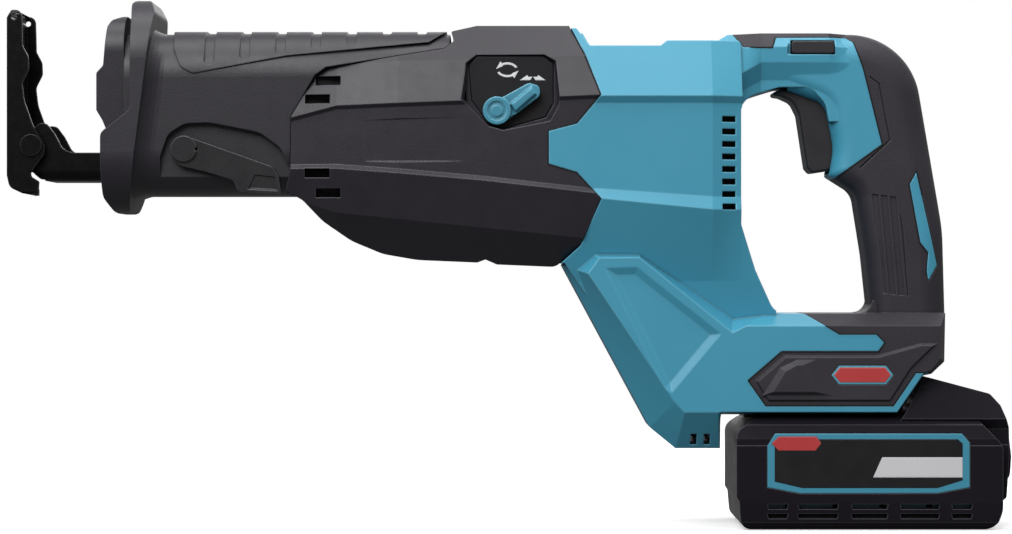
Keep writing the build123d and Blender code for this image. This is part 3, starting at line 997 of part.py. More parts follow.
# ---------------------------------------------------------------- battery
def battery():
    length, half = BATTERY_HALF_LENGTH, BATTERY_HALF_WIDTH
    side = [(-length + 2.2, 0.0), (length - 3.0, 0.0), (length, 8.0), (length, 37.0),
            (length - 12, BATTERY_DECK), (-length + 10, BATTERY_DECK), (-length, 43.0),
            (-length, 14.5), (-length + 1.2, 12.5)]
    rounds = [5, 7, 12, 6, 6, 5, 6, 1.5, 1.5]
    profile = [(0, 0), (half - 3.6, 0), (half - 1.0, 3.2), (half, 12.0), (half, 40.0), (half - 2.4, 46.0),
               (half - 9, BATTERY_DECK), (0, BATTERY_DECK)]
    section_body = across(list(reversed(profile)), -70, 70)
    block_body = both_ways(side, THROUGH, rounds) & section_body
    # hump behind the foot, with sloping sides
    hump_side = [(14.2, BATTERY_DECK - 2), (26.2, 66.6), (29.2, 66.0), (54.0, 59.4), (58.4, 54.4),
                 (62.2, 44.4), (62.6, 31.8), (61.6, 13.4), (56.0, 9.0), (50.0, 9.0),
                 (50.0, BATTERY_DECK - 2)]
    hump = both_ways(hump_side, THROUGH, [0, 1, 2, 3, 3, 5, 6, 2, 1, 0, 0])
    hump &= across([(0, 70), (24, 70), (27.0, 62.0), (33.5, 48.5), (30.0, 44.0), (27.0, 8.0), (0, 8.0)],
                   0, 70)
    body = block_body + hump
    # rails and terminals tongue that slide in the foot
    neck = both_ways([(-54.0, BATTERY_DECK - 1), (-54.0, TONGUE_TOP), (16.5, TONGUE_TOP),
                      (16.5, BATTERY_DECK - 1)], TONGUE_NECK_HALF)
    flange = block(-54.0, 18.0, -TONGUE_HALF_WIDTH, TONGUE_HALF_WIDTH, RAIL_TOP, TONGUE_TOP)
    tongue = neck + flange
    body += tongue
    inner = inset(side, BATTERY_WALL)
    hollow = both_ways(inner, THROUGH) & across(
        [(0, BATTERY_DECK - BATTERY_WALL), (half - 9, BATTERY_DECK - BATTERY_WALL),
         (half - 4.8, 44.0), (half - BATTERY_WALL, 39.0), (half - BATTERY_WALL, 12.0),
         (half - 5, BATTERY_WALL), (0, BATTERY_WALL)], -70, 70)
    body -= hollow
    # latch channel in the rear face of the hump
    body += block(46.5, 70.0, -15.5, 15.5, 9.8, 58.2) & (block_body + hump)
    body -= block(49.0, 70.0, -13.3, 13.3, 12.0, 54.0)
    # vents and side grip slots, and the sunk field of the label
    for x0, x1 in ((-44.8, -35.8), (-31.6, -13.8), (-8.0, 8.0), (13.4, 30.6), (36.0, 45.0)):
        for z in (6.0, 10.2):
            body -= mirrored_pair(slab([(x0, z + 1.1), (x1, z + 1.1), (x1 - 0.5, z - 1.1),
                                        (x0 + 0.5, z - 1.1)], half - 2.9, half + 2))
    body -= mirrored_pair(slab(LABEL, half - 0.5, half + 2))
    # contact slots in the tongue's front
    for y in (-15.0, -7.5, 7.5, 15.0):
        body -= block(-56.0, -34.0, y - 1.0, y + 1.0, 52.0, 62.0)
    upper = body & block(-90, 90, -60, 60, BATTERY_SPLIT, 80)
    lower = body & block(-90, 90, -60, 60, -5, BATTERY_SPLIT)
    nodes["battery_upper_case"], nodes["battery_lower_case"] = upper, lower
    nodes["battery_label"] = mirrored_pair(slab(inset(LABEL, 0.15), half - 0.5, half - 0.1))
    cells = []
    pitch = 2 * CELL_RADIUS + 2.4
    for row in range(2):
        for i in range(5):
            x = (i - 2.2) * pitch
            z = BATTERY_WALL + CELL_RADIUS + 0.05 + row * (2 * CELL_RADIUS + 0.4)
            cells.append(rod_y(x, z, -CELL_LENGTH / 2, CELL_LENGTH / 2, CELL_RADIUS))
    nodes["battery_cells"] = Compound(children=cells)
    contacts = []
    for y in (-15.0, -7.5, 7.5, 15.0):
        contacts.append(block(-42.0, -34.0, y - 1.0, y + 1.0, 52.0, 59.0))
    nodes["battery_contacts"] = Compound(children=contacts)
    button = both_ways([(50.2, 20.0), (62.0, 17.6), (65.4, 22.0), (66.0, 31.0), (64.6, 42.0),
                        (59.6, 50.0), (50.2, 52.4)], 12.8, [1, 2, 6, 8, 5, 3, 1])
    for i in range(4):
        button -= block(64.4, 70, -10, 10, 25.0 + 3.2 * i, 26.2 + 3.2 * i)
    nodes["battery_latch"] = button
    spring = rod_z(54.0, 0, 12.0, 17.4, 3.6) - rod_z(54.0, 0, 11.0, 20.0, 2.6)
    nodes["latch_spring"] = spring


LABEL = [(-45.0, 37.0), (-41.6, 42.4), (40.4, 42.4), (43.9, 38.4), (43.9, 18.6), (29.8, 16.0),
         (-30.6, 15.9), (-45.0, 18.6)]


def electronics():
    nodes["control_board"] = both_ways([(-91.3, 105.1), (-68.9, 77.1), (-76.7, 70.9),
                                        (-99.1, 98.9)], FOOT_HALF_WIDTH - HOUSING_WALL - 0.8)
    floor = TONGUE_TOP + 3.5
    holder = block(-59.0, -40.0, -20.0, 20.0, floor, floor + 5.5)
    for y in (-15.0, -7.5, 7.5, 15.0):
        holder += block(-52.0, -43.5, y - 0.4, y + 0.4, 53.5, floor + 1)
    nodes["terminal_block"] = holder


gear_covers()
nose_boot()
housing()
gear_case()
guide_sleeve()
plunger()
gear_train()
shoe()
shoe_bracket()
nose_plate()
controls()
battery()
electronics()

if __name__ == "__main__":
    for name, shape in nodes.items():
        print(name, len(shape.solids()), round(shape.volume), shape.is_valid)
        export_step(shape, f"parts/{name}.step")
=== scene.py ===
"""Looks of the cordless reciprocating saw: materials, decals, studio and camera. Metres."""

import json
import math

import bmesh
import bpy
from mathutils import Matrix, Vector
from mathutils.bvhtree import BVHTree


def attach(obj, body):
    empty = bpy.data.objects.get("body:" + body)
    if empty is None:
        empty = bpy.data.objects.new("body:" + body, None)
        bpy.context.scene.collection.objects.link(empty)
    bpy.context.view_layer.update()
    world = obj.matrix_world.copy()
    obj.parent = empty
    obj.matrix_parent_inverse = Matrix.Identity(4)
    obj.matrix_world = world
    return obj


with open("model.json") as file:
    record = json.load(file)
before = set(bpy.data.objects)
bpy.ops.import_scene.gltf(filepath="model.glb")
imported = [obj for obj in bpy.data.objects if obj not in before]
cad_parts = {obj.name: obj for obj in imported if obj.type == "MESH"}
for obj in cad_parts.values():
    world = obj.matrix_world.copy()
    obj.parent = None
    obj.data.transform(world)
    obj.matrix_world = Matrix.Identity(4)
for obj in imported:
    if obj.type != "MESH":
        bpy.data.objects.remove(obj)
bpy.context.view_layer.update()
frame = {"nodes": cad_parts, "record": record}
nodes = frame["nodes"]
MM = 0.001


# ------------------------------------------------------------------ material helpers
def new_material(name):
    mat = bpy.data.materials.new(name)
    mat.use_nodes = True
    tree = mat.node_tree
    return mat, tree, tree.nodes["Principled BSDF"]


def noise(tree, scale, detail=3.0, rough=0.55):
    """Noise over the object's own coordinates; scale is in cycles per metre."""
    coord = tree.nodes.new("ShaderNodeTexCoord")
    node = tree.nodes.new("ShaderNodeTexNoise")
    node.inputs["Scale"].default_value = scale
    node.inputs["Detail"].default_value = detail
    node.inputs["Roughness"].default_value = rough
    tree.links.new(coord.outputs["Object"], node.inputs["Vector"])
    return node.outputs["Fac"]


def ramp(tree, source, low, high):
    """Grey ramp between (place, value) pairs."""
    node = tree.nodes.new("ShaderNodeValToRGB")
    for element, (place, value) in zip(node.color_ramp.elements, (low, high)):
        element.position = place
        element.color = (value, value, value, 1.0)
    tree.links.new(source, node.inputs["Fac"])
    return node.outputs["Color"]


def joined(tree, first, second):
    """Sum of two masks, held within 0 to 1."""
    node = tree.nodes.new("ShaderNodeMath")
    node.operation = "ADD"
    node.use_clamp = True
    tree.links.new(first, node.inputs[0])
    tree.links.new(second, node.inputs[1])
    return node.outputs[0]


def mixed(tree, factor, first, second):
    """Blend of two colours, each a tuple or a socket."""
    mix = tree.nodes.new("ShaderNodeMix")
    mix.data_type = "RGBA"
    for label, value in (("A", first), ("B", second)):
        if isinstance(value, tuple):
            mix.inputs[label].default_value = (*value, 1.0)
        else:
            tree.links.new(value, mix.inputs[label])
    tree.links.new(factor, mix.inputs["Factor"])
    return mix.outputs["Result"]


def rounded(tree, radius):
    """Normal of the surface with its sharp edges rounded off, and a mask of those edges for the
    painted edge highlight.
    """
    soft = tree.nodes.new("ShaderNodeBevel")
    soft.samples = 6
    soft.inputs["Radius"].default_value = radius
    flat = tree.nodes.new("ShaderNodeNewGeometry")
    dot = tree.nodes.new("ShaderNodeVectorMath")
    dot.operation = "DOT_PRODUCT"
    tree.links.new(soft.outputs["Normal"], dot.inputs[0])
    tree.links.new(flat.outputs["Normal"], dot.inputs[1])
    return soft.outputs["Normal"], ramp(tree, dot.outputs["Value"], (0.93, 1.0), (0.998, 0.0))


def painted_crease_shade(tree, depth=0.0022):
    """1 on open faces, 0 deep in joints and corners: the mask of the painted shade there."""
    near = tree.nodes.new("ShaderNodeAmbientOcclusion")
    near.samples = 6
    near.inputs["Distance"].default_value = depth
    return ramp(tree, near.outputs["AO"], (0.40, 0.0), (0.86, 1.0))


def coloured(tree, bsdf, mask, base, other, edge_mask, edge_highlight, crease_shade=0.35):
    """Base to other by the mask, a painted highlight on sharp edges, and painted shade that darkens
    corners and joints to a fraction of the base colour.
    """
    body = mixed(tree, mask, base, other)
    # Painted highlight: sharp edges, concave ones too, lighten to the edge colour.
    highlighted = mixed(tree, edge_mask, body, edge_highlight)
    # Painted shade: corners and joints darken to this fraction of the base colour.
    shaded = tuple(crease_shade * value for value in base)
    tree.links.new(mixed(tree, painted_crease_shade(tree), shaded, highlighted), bsdf.inputs["Base Color"])


def bump(tree, bsdf, normal, layers):
    """Chain of bump nodes on a normal, from (height socket, depth in metres, strength)."""
    for height, depth, strength in layers:
        node = tree.nodes.new("ShaderNodeBump")
        node.inputs["Distance"].default_value = depth
        node.inputs["Strength"].default_value = strength
        tree.links.new(height, node.inputs["Height"])
        tree.links.new(normal, node.inputs["Normal"])
        normal = node.outputs["Normal"]
    tree.links.new(normal, bsdf.inputs["Normal"])


# ------------------------------------------------------------------ material families
def moulded(name, colour, lighter, edge, rough, grain=900.0, grain_depth=0.00005, spec=0.5,
            radius=0.7):
    """Injection-moulded plastic: spark-eroded grain, slow gloss variation and handling marks, with
    a painted highlight on edges and painted shade in corners.
    """
    mat, tree, bsdf = new_material(name)
    normal, edge_mask = rounded(tree, radius * MM)
    tint = ramp(tree, noise(tree, 30.0, 3.0), (0.35, 0.0), (0.75, 0.35))
    marks = ramp(tree, noise(tree, 2300.0, 2.0, 0.7), (0.60, 0.0), (0.80, 0.35))
    coloured(tree, bsdf, joined(tree, tint, marks), colour, lighter, edge_mask, edge)
    gloss = ramp(tree, noise(tree, 110.0, 5.0, 0.65), (0.3, rough - 0.05), (0.75, rough + 0.06))
    tree.links.new(gloss, bsdf.inputs["Roughness"])
    bsdf.inputs["Specular IOR Level"].default_value = spec
    bump(tree, bsdf, normal, [(noise(tree, grain, 2.0, 0.6), grain_depth, 0.45)])
    return mat


def elastomer(name, colour, lighter, edge, rough):
    """Soft-touch overmould: leathery pebble grain with a little pale dust in it, a painted
    highlight on edges and painted shade in corners.
    """
    mat, tree, bsdf = new_material(name)
    normal, edge_mask = rounded(tree, 0.6 * MM)
    coord = tree.nodes.new("ShaderNodeTexCoord")
    cells = tree.nodes.new("ShaderNodeTexVoronoi")
    cells.inputs["Scale"].default_value = 1300.0
    tree.links.new(coord.outputs["Object"], cells.inputs["Vector"])
    dust = ramp(tree, noise(tree, 1500.0, 2.0), (0.58, 0.0), (0.85, 0.4))
    tone = ramp(tree, noise(tree, 35.0, 4.0), (0.35, 0.0), (0.8, 0.3))
    coloured(tree, bsdf, joined(tree, dust, tone), colour, lighter, edge_mask, edge)
    gloss = ramp(tree, noise(tree, 90.0, 4.0), (0.3, rough - 0.05), (0.8, rough + 0.08))
    tree.links.new(gloss, bsdf.inputs["Roughness"])
    bsdf.inputs["Specular IOR Level"].default_value = 0.42
    bump(tree, bsdf, normal, [(cells.outputs["Distance"], 0.00011, 0.4),
                              (noise(tree, 420.0, 3.0), 0.00008, 0.25)])
    return mat


def metal(name, colour, lighter, edge, rough, metallic=1.0, turned=False, spec=0.5):
    """Steel, brass or aluminium: fine mottling, uneven polish and, on turned pieces, tool rings;
    edges lighter, part wear and part painted highlight, and painted shade in corners.
    """
    mat, tree, bsdf = new_material(name)
    bsdf.inputs["Metallic"].default_value = metallic
    bsdf.inputs["Specular IOR Level"].default_value = spec
    normal, edge_mask = rounded(tree, 0.4 * MM)
    mottle = ramp(tree, noise(tree, 400.0, 5.0), (0.35, 0.0), (0.8, 0.3))
    coloured(tree, bsdf, mottle, colour, lighter, edge_mask, edge)
    gloss = ramp(tree, noise(tree, 260.0, 4.0), (0.25, rough - 0.06), (0.8, rough + 0.08))
    tree.links.new(gloss, bsdf.inputs["Roughness"])
    if turned:
        coord = tree.nodes.new("ShaderNodeTexCoord")
        wave = tree.nodes.new("ShaderNodeTexWave")
        wave.bands_direction = "X"
        wave.inputs["Scale"].default_value = 900.0
        wave.inputs["Distortion"].default_value = 0.6
        tree.links.new(coord.outputs["Object"], wave.inputs["Vector"])
        bump(tree, bsdf, normal, [(wave.outputs["Fac"], 0.00002, 0.4)])
    else:
        bump(tree, bsdf, normal, [(noise(tree, 1100.0, 3.0), 0.00003, 0.4)])
    return mat


# The third colour of each material below is its painted edge highlight; on metals it also stands
# for wear.
TEAL, TEAL_LIGHT, TEAL_EDGE_HIGHLIGHT = (0.056, 0.310, 0.450), (0.070, 0.340, 0.480), (0.130, 0.440, 0.590)
FILM_GRAIN = 0.00001    # depth of the grain on printed film, in metres
materials = {
    "teal_plastic": moulded("teal_plastic", TEAL, TEAL_LIGHT, TEAL_EDGE_HIGHLIGHT, 0.40, spec=0.45,
                            radius=1.0),
    "teal_lever": moulded("teal_lever", (0.052, 0.255, 0.365), TEAL_LIGHT, (0.18, 0.50, 0.63),
                          0.34, 1200.0),
    "grip_elastomer": elastomer("grip_elastomer", (0.0215, 0.0185, 0.0255), (0.050, 0.045, 0.056),
                                (0.060, 0.055, 0.066), 0.56),
    "black_plastic": moulded("black_plastic", (0.0180, 0.0153, 0.0218), (0.028, 0.0248, 0.033),
                             (0.064, 0.058, 0.071), 0.40, 1100.0, 0.00008, 0.42),
    "boot_rubber": moulded("boot_rubber", (0.0190, 0.0165, 0.0225), (0.030, 0.027, 0.035),
                           (0.058, 0.053, 0.065), 0.44, 1000.0, 0.00010, 0.45),
    "screw_steel": metal("screw_steel", (0.10, 0.10, 0.105), (0.35, 0.35, 0.36), (0.5, 0.5, 0.5),
                         0.32),
    # Near-black, not aluminium grey: painted shade, so the gear case seen through the vents reads
    # as shadow.
    "cast_aluminium": metal("cast_aluminium", (0.012, 0.012, 0.013), (0.026, 0.026, 0.027),
                            (0.05, 0.05, 0.05), 0.55, 0.6),
    "machined_steel": metal("machined_steel", (0.36, 0.36, 0.37), (0.52, 0.52, 0.52),
                            (0.65, 0.65, 0.65), 0.26, turned=True),
    "dark_steel": metal("dark_steel", (0.0030, 0.0029, 0.0034), (0.007, 0.0068, 0.0077),
                        (0.16, 0.16, 0.17), 0.28, 0.0, spec=0.16),
    "bearing_bronze": metal("bearing_bronze", (0.42, 0.24, 0.09), (0.6, 0.4, 0.2),
                            (0.7, 0.5, 0.3), 0.4),
    "motor_iron": metal("motor_iron", (0.13, 0.13, 0.14), (0.25, 0.25, 0.25),
                        (0.35, 0.35, 0.35), 0.45),
    "fan_plastic": moulded("fan_plastic", (0.010, 0.010, 0.011), (0.020, 0.020, 0.021),
                           (0.04, 0.04, 0.04), 0.5),
    "lever_plastic": moulded("lever_plastic", (0.0062, 0.0055, 0.0074), (0.017, 0.0155, 0.019),
                             (0.070, 0.067, 0.075), 0.38),
    "trigger_plastic": moulded("trigger_plastic", (0.0150, 0.0138, 0.0168), (0.028, 0.026, 0.031),
                               (0.055, 0.052, 0.059), 0.44),
    "battery_plastic": moulded("battery_plastic", (0.0125, 0.0108, 0.0148), (0.018, 0.0160, 0.021),
                               (0.110, 0.105, 0.120), 0.20, 700.0, 0.00002, 0.08, 0.5),
    "label_film": moulded("label_film", (0.050, 0.270, 0.390), (0.060, 0.290, 0.410),
                          (0.10, 0.38, 0.5), 0.34, grain_depth=FILM_GRAIN),
    "cell_sleeve": moulded("cell_sleeve", (0.02, 0.12, 0.16), (0.03, 0.16, 0.2),
                           (0.05, 0.2, 0.25), 0.3),
    "contact_brass": metal("contact_brass", (0.55, 0.38, 0.14), (0.75, 0.6, 0.35),
                           (0.8, 0.7, 0.5), 0.3),
}

# ------------------------------------------------------------------ CAD nodes
ROUND_MM = {"shoe": 0.35, "shoe_bracket": 0.35, "trigger": 0.6, "selector_lever": 0.4,
            "lock_off_button": 0.4, "battery_latch": 0.5, "shoe_pin": 0.3}


def paint(obj, mat):
    if not obj.material_slots:
        obj.data.materials.append(None)
    for material_slot in obj.material_slots:
        material_slot.link = "OBJECT"
        material_slot.material = mat


def round_edges(obj, width):
    """Joins the split corners, makes the facets whole planes again and rounds their edges."""
    weld = obj.modifiers.new("weld", "WELD")
    weld.merge_threshold = 0.01 * MM
    flat = obj.modifiers.new("planar", "DECIMATE")
    flat.decimate_type = "DISSOLVE"
    flat.angle_limit = math.radians(0.6)
    edge = obj.modifiers.new("edge", "BEVEL")
    edge.width = width * MM
    edge.segments = 2
    edge.limit_method = "ANGLE"
    edge.angle_limit = math.radians(14)
    edge.use_clamp_overlap = False
    smooth = obj.modifiers.new("smooth", "WEIGHTED_NORMAL")
    smooth.weight = 90


for entry in frame["record"]["subparts"]:
    node = nodes[entry["node"]]
    paint(node, materials[entry["material_slot"]])
    if entry["node"] in ROUND_MM:
        round_edges(node, ROUND_MM[entry["node"]])
# Darker than black_plastic: painted shade of the recess around the selector.
paint(nodes["selector_plate"],
      moulded("selector_floor_shade", (0.0080, 0.0072, 0.0092), (0.014, 0.0128, 0.016),
              (0.05, 0.046, 0.055), 0.46, 1100.0, 0.00006, 0.3))


# ------------------------------------------------------------------ decals
def placed(name, bm, mat, body):
    """Object made from the bmesh, with its material, that rides on the body."""
    mesh = bpy.data.meshes.new(name)
    bm.to_mesh(mesh)
    bm.free()
    mesh.materials.append(mat)
    obj = bpy.data.objects.new(name, mesh)
    bpy.context.scene.collection.objects.link(obj)
    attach(obj, body)
    return obj


def plate(name, outlines, y, thick, mat, body, bevel=0.0):
    """Thin plates on the side of the saw where y lies, from rings of (x, z) corners, in mm."""
    side = 1 if y > 0 else -1
    bm = bmesh.new()
    for outline in outlines:
        verts = [bm.verts.new((x * MM, y * MM, z * MM)) for x, z in outline]
        face = bm.faces.new(verts)
        grown = bmesh.ops.extrude_face_region(bm, geom=[face])
        moved = [g for g in grown["geom"] if isinstance(g, bmesh.types.BMVert)]
        bmesh.ops.translate(bm, verts=moved, vec=(0, side * thick * MM, 0))
    bmesh.ops.recalc_face_normals(bm, faces=bm.faces)
    obj = placed(name, bm, mat, body)
    if bevel:
        edge = obj.modifiers.new("edge", "BEVEL")
        edge.width = bevel * MM
        edge.segments = 2


def inset(outline, gap):
    """The outline moved inwards by gap; corners run either way round."""
    area = sum(a[0] * b[1] - b[0] * a[1] for a, b in zip(outline, outline[1:] + outline[:1]))
    sign = 1 if area > 0 else -1
    lines = []
    for a, b in zip(outline, outline[1:] + outline[:1]):
        length = math.dist(a, b)
        normal = (-(b[1] - a[1]) / length * sign, (b[0] - a[0]) / length * sign)
        lines.append((a[0] + normal[0] * gap, a[1] + normal[1] * gap, b[0] - a[0], b[1] - a[1]))
    corners = []
    for (px, pz, dx, dz), (qx, qz, ex, ez) in zip(lines[-1:] + lines[:-1], lines):
        cross = dx * ez - dz * ex
        t = ((qx - px) * ez - (qz - pz) * ex) / cross
        corners.append((px + dx * t, pz + dz * t))
    return corners


red = moulded("red_inlay", (0.47, 0.040, 0.042), (0.55, 0.07, 0.07), (0.6, 0.15, 0.15), 0.36,
              grain_depth=FILM_GRAIN)
teal_trim = moulded("teal_trim", (0.075, 0.34, 0.47), (0.10, 0.40, 0.53), (0.2, 0.5, 0.62), 0.32,
                    grain_depth=FILM_GRAIN)
white = moulded("white_print", (0.80, 0.80, 0.81), (0.86, 0.86, 0.86), (0.9, 0.9, 0.9), 0.45,
                grain_depth=FILM_GRAIN)
black_film = moulded("black_film", (0.0085, 0.0080, 0.0095), (0.014, 0.0135, 0.015),
                     (0.02, 0.02, 0.02), 0.30, grain_depth=FILM_GRAIN)
silver_film = moulded("silver_film", (0.62, 0.62, 0.64), (0.74, 0.74, 0.76), (0.8, 0.8, 0.8), 0.36,
                      2500.0, grain_depth=2 * FILM_GRAIN)

SIDES = ((-1, "left"), (1, "right"))

# Hexagon inlay in its recess on each side of the foot.
HEXAGON = [(-16.9, 67.9), (-13.4, 72.2), (7.4, 72.2), (10.8, 67.9), (7.4, 63.6), (-13.4, 63.6)]
HEXAGON_FLOOR_Y = 35.9
for side, name in SIDES:
    recess_y = side * (HEXAGON_FLOOR_Y + 0.02)
    plate(f"hexagon_trim_{name}", [inset(HEXAGON, 0.15)], recess_y, 0.30, teal_trim,
          "frame", 0.1)
    plate(f"hexagon_inlay_{name}", [inset(HEXAGON, 1.0)], recess_y, 0.45, red,
          "frame", 0.15)

# Battery label: black field, plain silver bar and a plain hexagon on the teal film.
LABEL_Y = 37.9
FIELD = [(-41.7, 38.6), (-40.4, 39.8), (38.6, 39.8), (40.7, 37.9), (40.7, 21.8), (29.7, 18.4),
         (-29.6, 18.4), (-41.7, 21.2)]
BAR = [(5.4, 31.9), (40.7, 31.9), (40.7, 23.0), (1.4, 23.0)]
LABEL_HEXAGON = [(-43.1, 38.0), (-39.9, 41.0), (-23.4, 41.0), (-21.3, 38.0), (-23.8, 34.8),
                 (-40.0, 34.8)]
for side, name in SIDES:
    for piece, outline, lift, thick, film in (("field", FIELD, 0.01, 0.05, black_film),
                                              ("bar", BAR, 0.03, 0.07, silver_film),
                                              ("hexagon", LABEL_HEXAGON, 0.03, 0.10, red)):
        plate(f"label_{piece}_{name}", [outline], side * (LABEL_Y + lift), thick, film,
              "battery")

# Stroke pictograms over the orbital selector: a ring of two arrows and two half arrows.
SELECTOR_PRINT_Y = -29.02
RING_CENTRE = (-158.9, 202.3)
RING_X, RING_Z, RING_BAND = 4.7, 3.3, 1.0
RING_HEAD = [(-3.1, 3.7), (-5.0, 0.3), (-2.2, 1.5)]
RING_START, RING_SWEEP, RING_STEPS = 20, 100, 11    # degrees, degrees, chords
ARROW_TIPS = (((-153.4, 197.7), -1), ((-142.0, 197.7), 1))
PRINT_THICK = 0.05


def ring_arrow(flip):
    """Part of an ellipse with an arrowhead at its end; flip of -1 turns it by half a turn."""
    outer, inner = [], []
    for step in range(RING_STEPS + 1):
        angle = math.radians(RING_START + RING_SWEEP * step / RING_STEPS)
        along, up = math.cos(angle), math.sin(angle)
        outer.append((RING_X * along, RING_Z * up))
        inner.append(((RING_X - RING_BAND) * along, (RING_Z - RING_BAND) * up))
    outline = outer + RING_HEAD + inner[::-1]
    return [(RING_CENTRE[0] + flip * x, RING_CENTRE[1] + flip * z) for x, z in outline]


def half_arrow(tip, heading):
    """Flat-bottomed arrow, 5.6 mm long, that points along heading."""
    shape = [(0.0, 0.0), (3.3, 2.3), (3.7, 1.5), (5.6, 1.5), (4.5, 0.0)]
    return [(tip[0] - heading * x, tip[1] + z) for x, z in shape]


plate("orbital_pictogram", [ring_arrow(1), ring_arrow(-1)], SELECTOR_PRINT_Y, PRINT_THICK, white,
      "frame")
plate("straight_pictogram", [half_arrow(tip, heading) for tip, heading in ARROW_TIPS],
      SELECTOR_PRINT_Y, PRINT_THICK, white, "frame")

# Near-black sheets close the vents from inside: painted shade, so the vents read black and nothing
# shows through them.
VENT_SHADE = [(-70.5, 137.5), (-56.5, 137.5), (-56.5, 184.5), (-70.5, 184.5)]
VENT_SHADE_Y = 24.0
VENT_SHADE_THICK = 0.8
vent_shade_sheet = moulded("vent_shade_sheet", (0.006, 0.006, 0.007), (0.010, 0.010, 0.011),
                       (0.01, 0.01, 0.01), 0.6)
for side, name in SIDES:
    plate(f"vent_shade_panel_{name}", [VENT_SHADE], side * VENT_SHADE_Y, VENT_SHADE_THICK, vent_shade_sheet,
          "frame")


# ------------------------------------------------------------------ parting seams, painted shadow
SEAM_RADIUS_MM = 0.32
SEAM_LAP_MM = 0.1       # how far each rod's ends run on into the next
SHORTEST_MM = 0.05      # shorter edges get no rod
FLUSH_MM = 0.3
SEAM_CORNER = math.radians(45)
seam_shade = moulded("seam_shade", (0.0015, 0.0015, 0.0017), (0.003, 0.003, 0.003),
                     (0.002, 0.002, 0.002), 0.8)


def welded(node):
    bm = bmesh.new()
    bm.from_mesh(nodes[node].data)
    bmesh.ops.remove_doubles(bm, verts=bm.verts, dist=0.01 * MM)
    return bm


def flush(tree, middle, outer, across):
    """True where the neighbour carries on the outer face, one millimetre across the edge."""
    place, normal, _, gap = tree.find_nearest(middle + across * MM)
    return place is not None and gap < FLUSH_MM * MM and normal.dot(outer) > 0.8


def seam_edges(node, neighbour):
    """Edges of the node where its outer face runs on into the neighbour's."""
    other = welded(neighbour)
    tree = BVHTree.FromBMesh(other)
    bm = welded(node)
    found = []
    for edge in bm.edges:
        if len(edge.link_faces) != 2 or edge.calc_face_angle() < SEAM_CORNER:
            continue
        first, second = (face.normal for face in edge.link_faces)
        start, end = (vert.co.copy() for vert in edge.verts)
        middle = (start + end) / 2
        if flush(tree, middle, first, second) or flush(tree, middle, second, first):
            found.append((start, end))
    other.free()
    bm.free()
    return found


def seam(name, node, neighbour, body):
    """Dark strip of six-sided rods along the joint between two flush pieces: painted shadow of the
    gap.
    """
    bm = bmesh.new()
    for start, end in seam_edges(node, neighbour):
        along = end - start
        if along.length < SHORTEST_MM * MM:
            continue
        rod = bmesh.ops.create_cone(bm, cap_ends=True, segments=6, radius1=SEAM_RADIUS_MM * MM,
                                    radius2=SEAM_RADIUS_MM * MM,
                                    depth=along.length + SEAM_LAP_MM * MM)
        turn = along.to_track_quat("Z", "Y").to_matrix().to_4x4()
        turn.translation = (start + end) / 2
        bmesh.ops.transform(bm, matrix=turn, verts=rod["verts"])
    placed(name, bm, seam_shade, body)


for _, name in SIDES:
    seam(f"{name}_cover_seam_shadow", f"{name}_gear_cover", f"{name}_housing", "frame")
    seam(f"{name}_grip_seam_shadow", f"{name}_overmould", f"{name}_housing", "frame")


# ------------------------------------------------------------------ studio
FLOOR_HALF = 3.0
FLOOR_DROP = 0.0004             # keeps the floor clear of the battery's underside
FADE_FROM, FADE_TO = 0.55, 0.95  # radii between which the floor turns transparent
AIM = (-0.16, 0.0, 0.12)
LIGHTS = (("overhead", (-0.16, -0.15, 1.5), (1.7, 0.8), 15),     # name, place, size, watts
          ("key", (-0.7, -1.5, 1.35), (1.2, 1.2), 28),
          ("far_side", (0.3, 1.9, 1.0), (1.6, 1.2), 9))


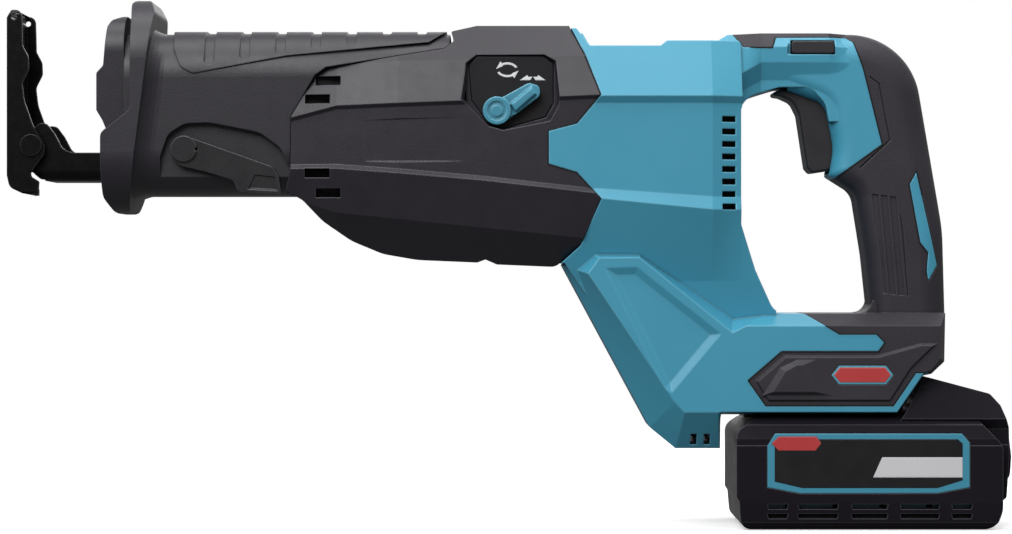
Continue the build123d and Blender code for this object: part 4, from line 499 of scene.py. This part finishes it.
def floor():
    """Pale sweep that fades into the white background and throws no light on the saw."""
    mesh = bpy.data.meshes.new("floor")
    half = FLOOR_HALF
    mesh.from_pydata([(-half, -half, 0), (half, -half, 0), (half, half, 0), (-half, half, 0)], [],
                     [(0, 1, 2, 3)])
    obj = bpy.data.objects.new("floor", mesh)
    bpy.context.scene.collection.objects.link(obj)
    mat, tree, bsdf = new_material("floor_paper")
    bsdf.inputs["Base Color"].default_value = (0.80, 0.80, 0.80, 1.0)
    bsdf.inputs["Roughness"].default_value = 0.9
    bsdf.inputs["Specular IOR Level"].default_value = 0.1
    bsdf.inputs["Emission Color"].default_value = (1.0, 1.0, 1.0, 1.0)
    bsdf.inputs["Emission Strength"].default_value = 0.45
    coord = tree.nodes.new("ShaderNodeTexCoord")
    radius = tree.nodes.new("ShaderNodeVectorMath")
    radius.operation = "LENGTH"
    tree.links.new(coord.outputs["Object"], radius.inputs[0])
    tree.links.new(ramp(tree, radius.outputs["Value"], (FADE_FROM, 1.0), (FADE_TO, 0.0)),
                   bsdf.inputs["Alpha"])
    mesh.materials.append(mat)
    obj.location.z = -FLOOR_DROP
    obj.visible_diffuse = False
    obj.visible_glossy = False


def area_light(name, place, size, power):
    """Rectangular light that points at AIM."""
    data = bpy.data.lights.new(name, "AREA")
    data.shape = "RECTANGLE"
    data.size, data.size_y = size
    data.energy = power
    obj = bpy.data.objects.new(name, data)
    bpy.context.scene.collection.objects.link(obj)
    obj.location = place
    obj.rotation_euler = (Vector(AIM) - Vector(place)).to_track_quat("-Z", "Y").to_euler()


def white_room():
    """White behind the saw, brighter overhead than below."""
    world = bpy.data.worlds.new("studio")
    bpy.context.scene.world = world
    world.use_nodes = True
    tree = world.node_tree
    background = tree.nodes["Background"]
    coord = tree.nodes.new("ShaderNodeTexCoord")
    parts = tree.nodes.new("ShaderNodeSeparateXYZ")
    tree.links.new(coord.outputs["Generated"], parts.inputs[0])
    height = ramp(tree, parts.outputs["Z"], (0.0, 0.16), (0.35, 0.55))
    path = tree.nodes.new("ShaderNodeLightPath")
    seen = joined(tree, height, path.outputs["Is Camera Ray"])
    tree.links.new(seen, background.inputs["Color"])


floor()
for light in LIGHTS:
    area_light(*light)
white_room()
bpy.context.scene.view_settings.view_transform = "Standard"

camera_data = bpy.data.cameras.new("camera")
camera_data.sensor_width = 36.0
camera_data.lens = 115.4
camera_data.clip_end = 50.0
camera = bpy.data.objects.new("camera", camera_data)
bpy.context.scene.collection.objects.link(camera)
camera.location = (-0.1595, -1.460, 0.1153)
camera.rotation_euler = (math.radians(90), 0, 0)
bpy.context.scene.camera = camera
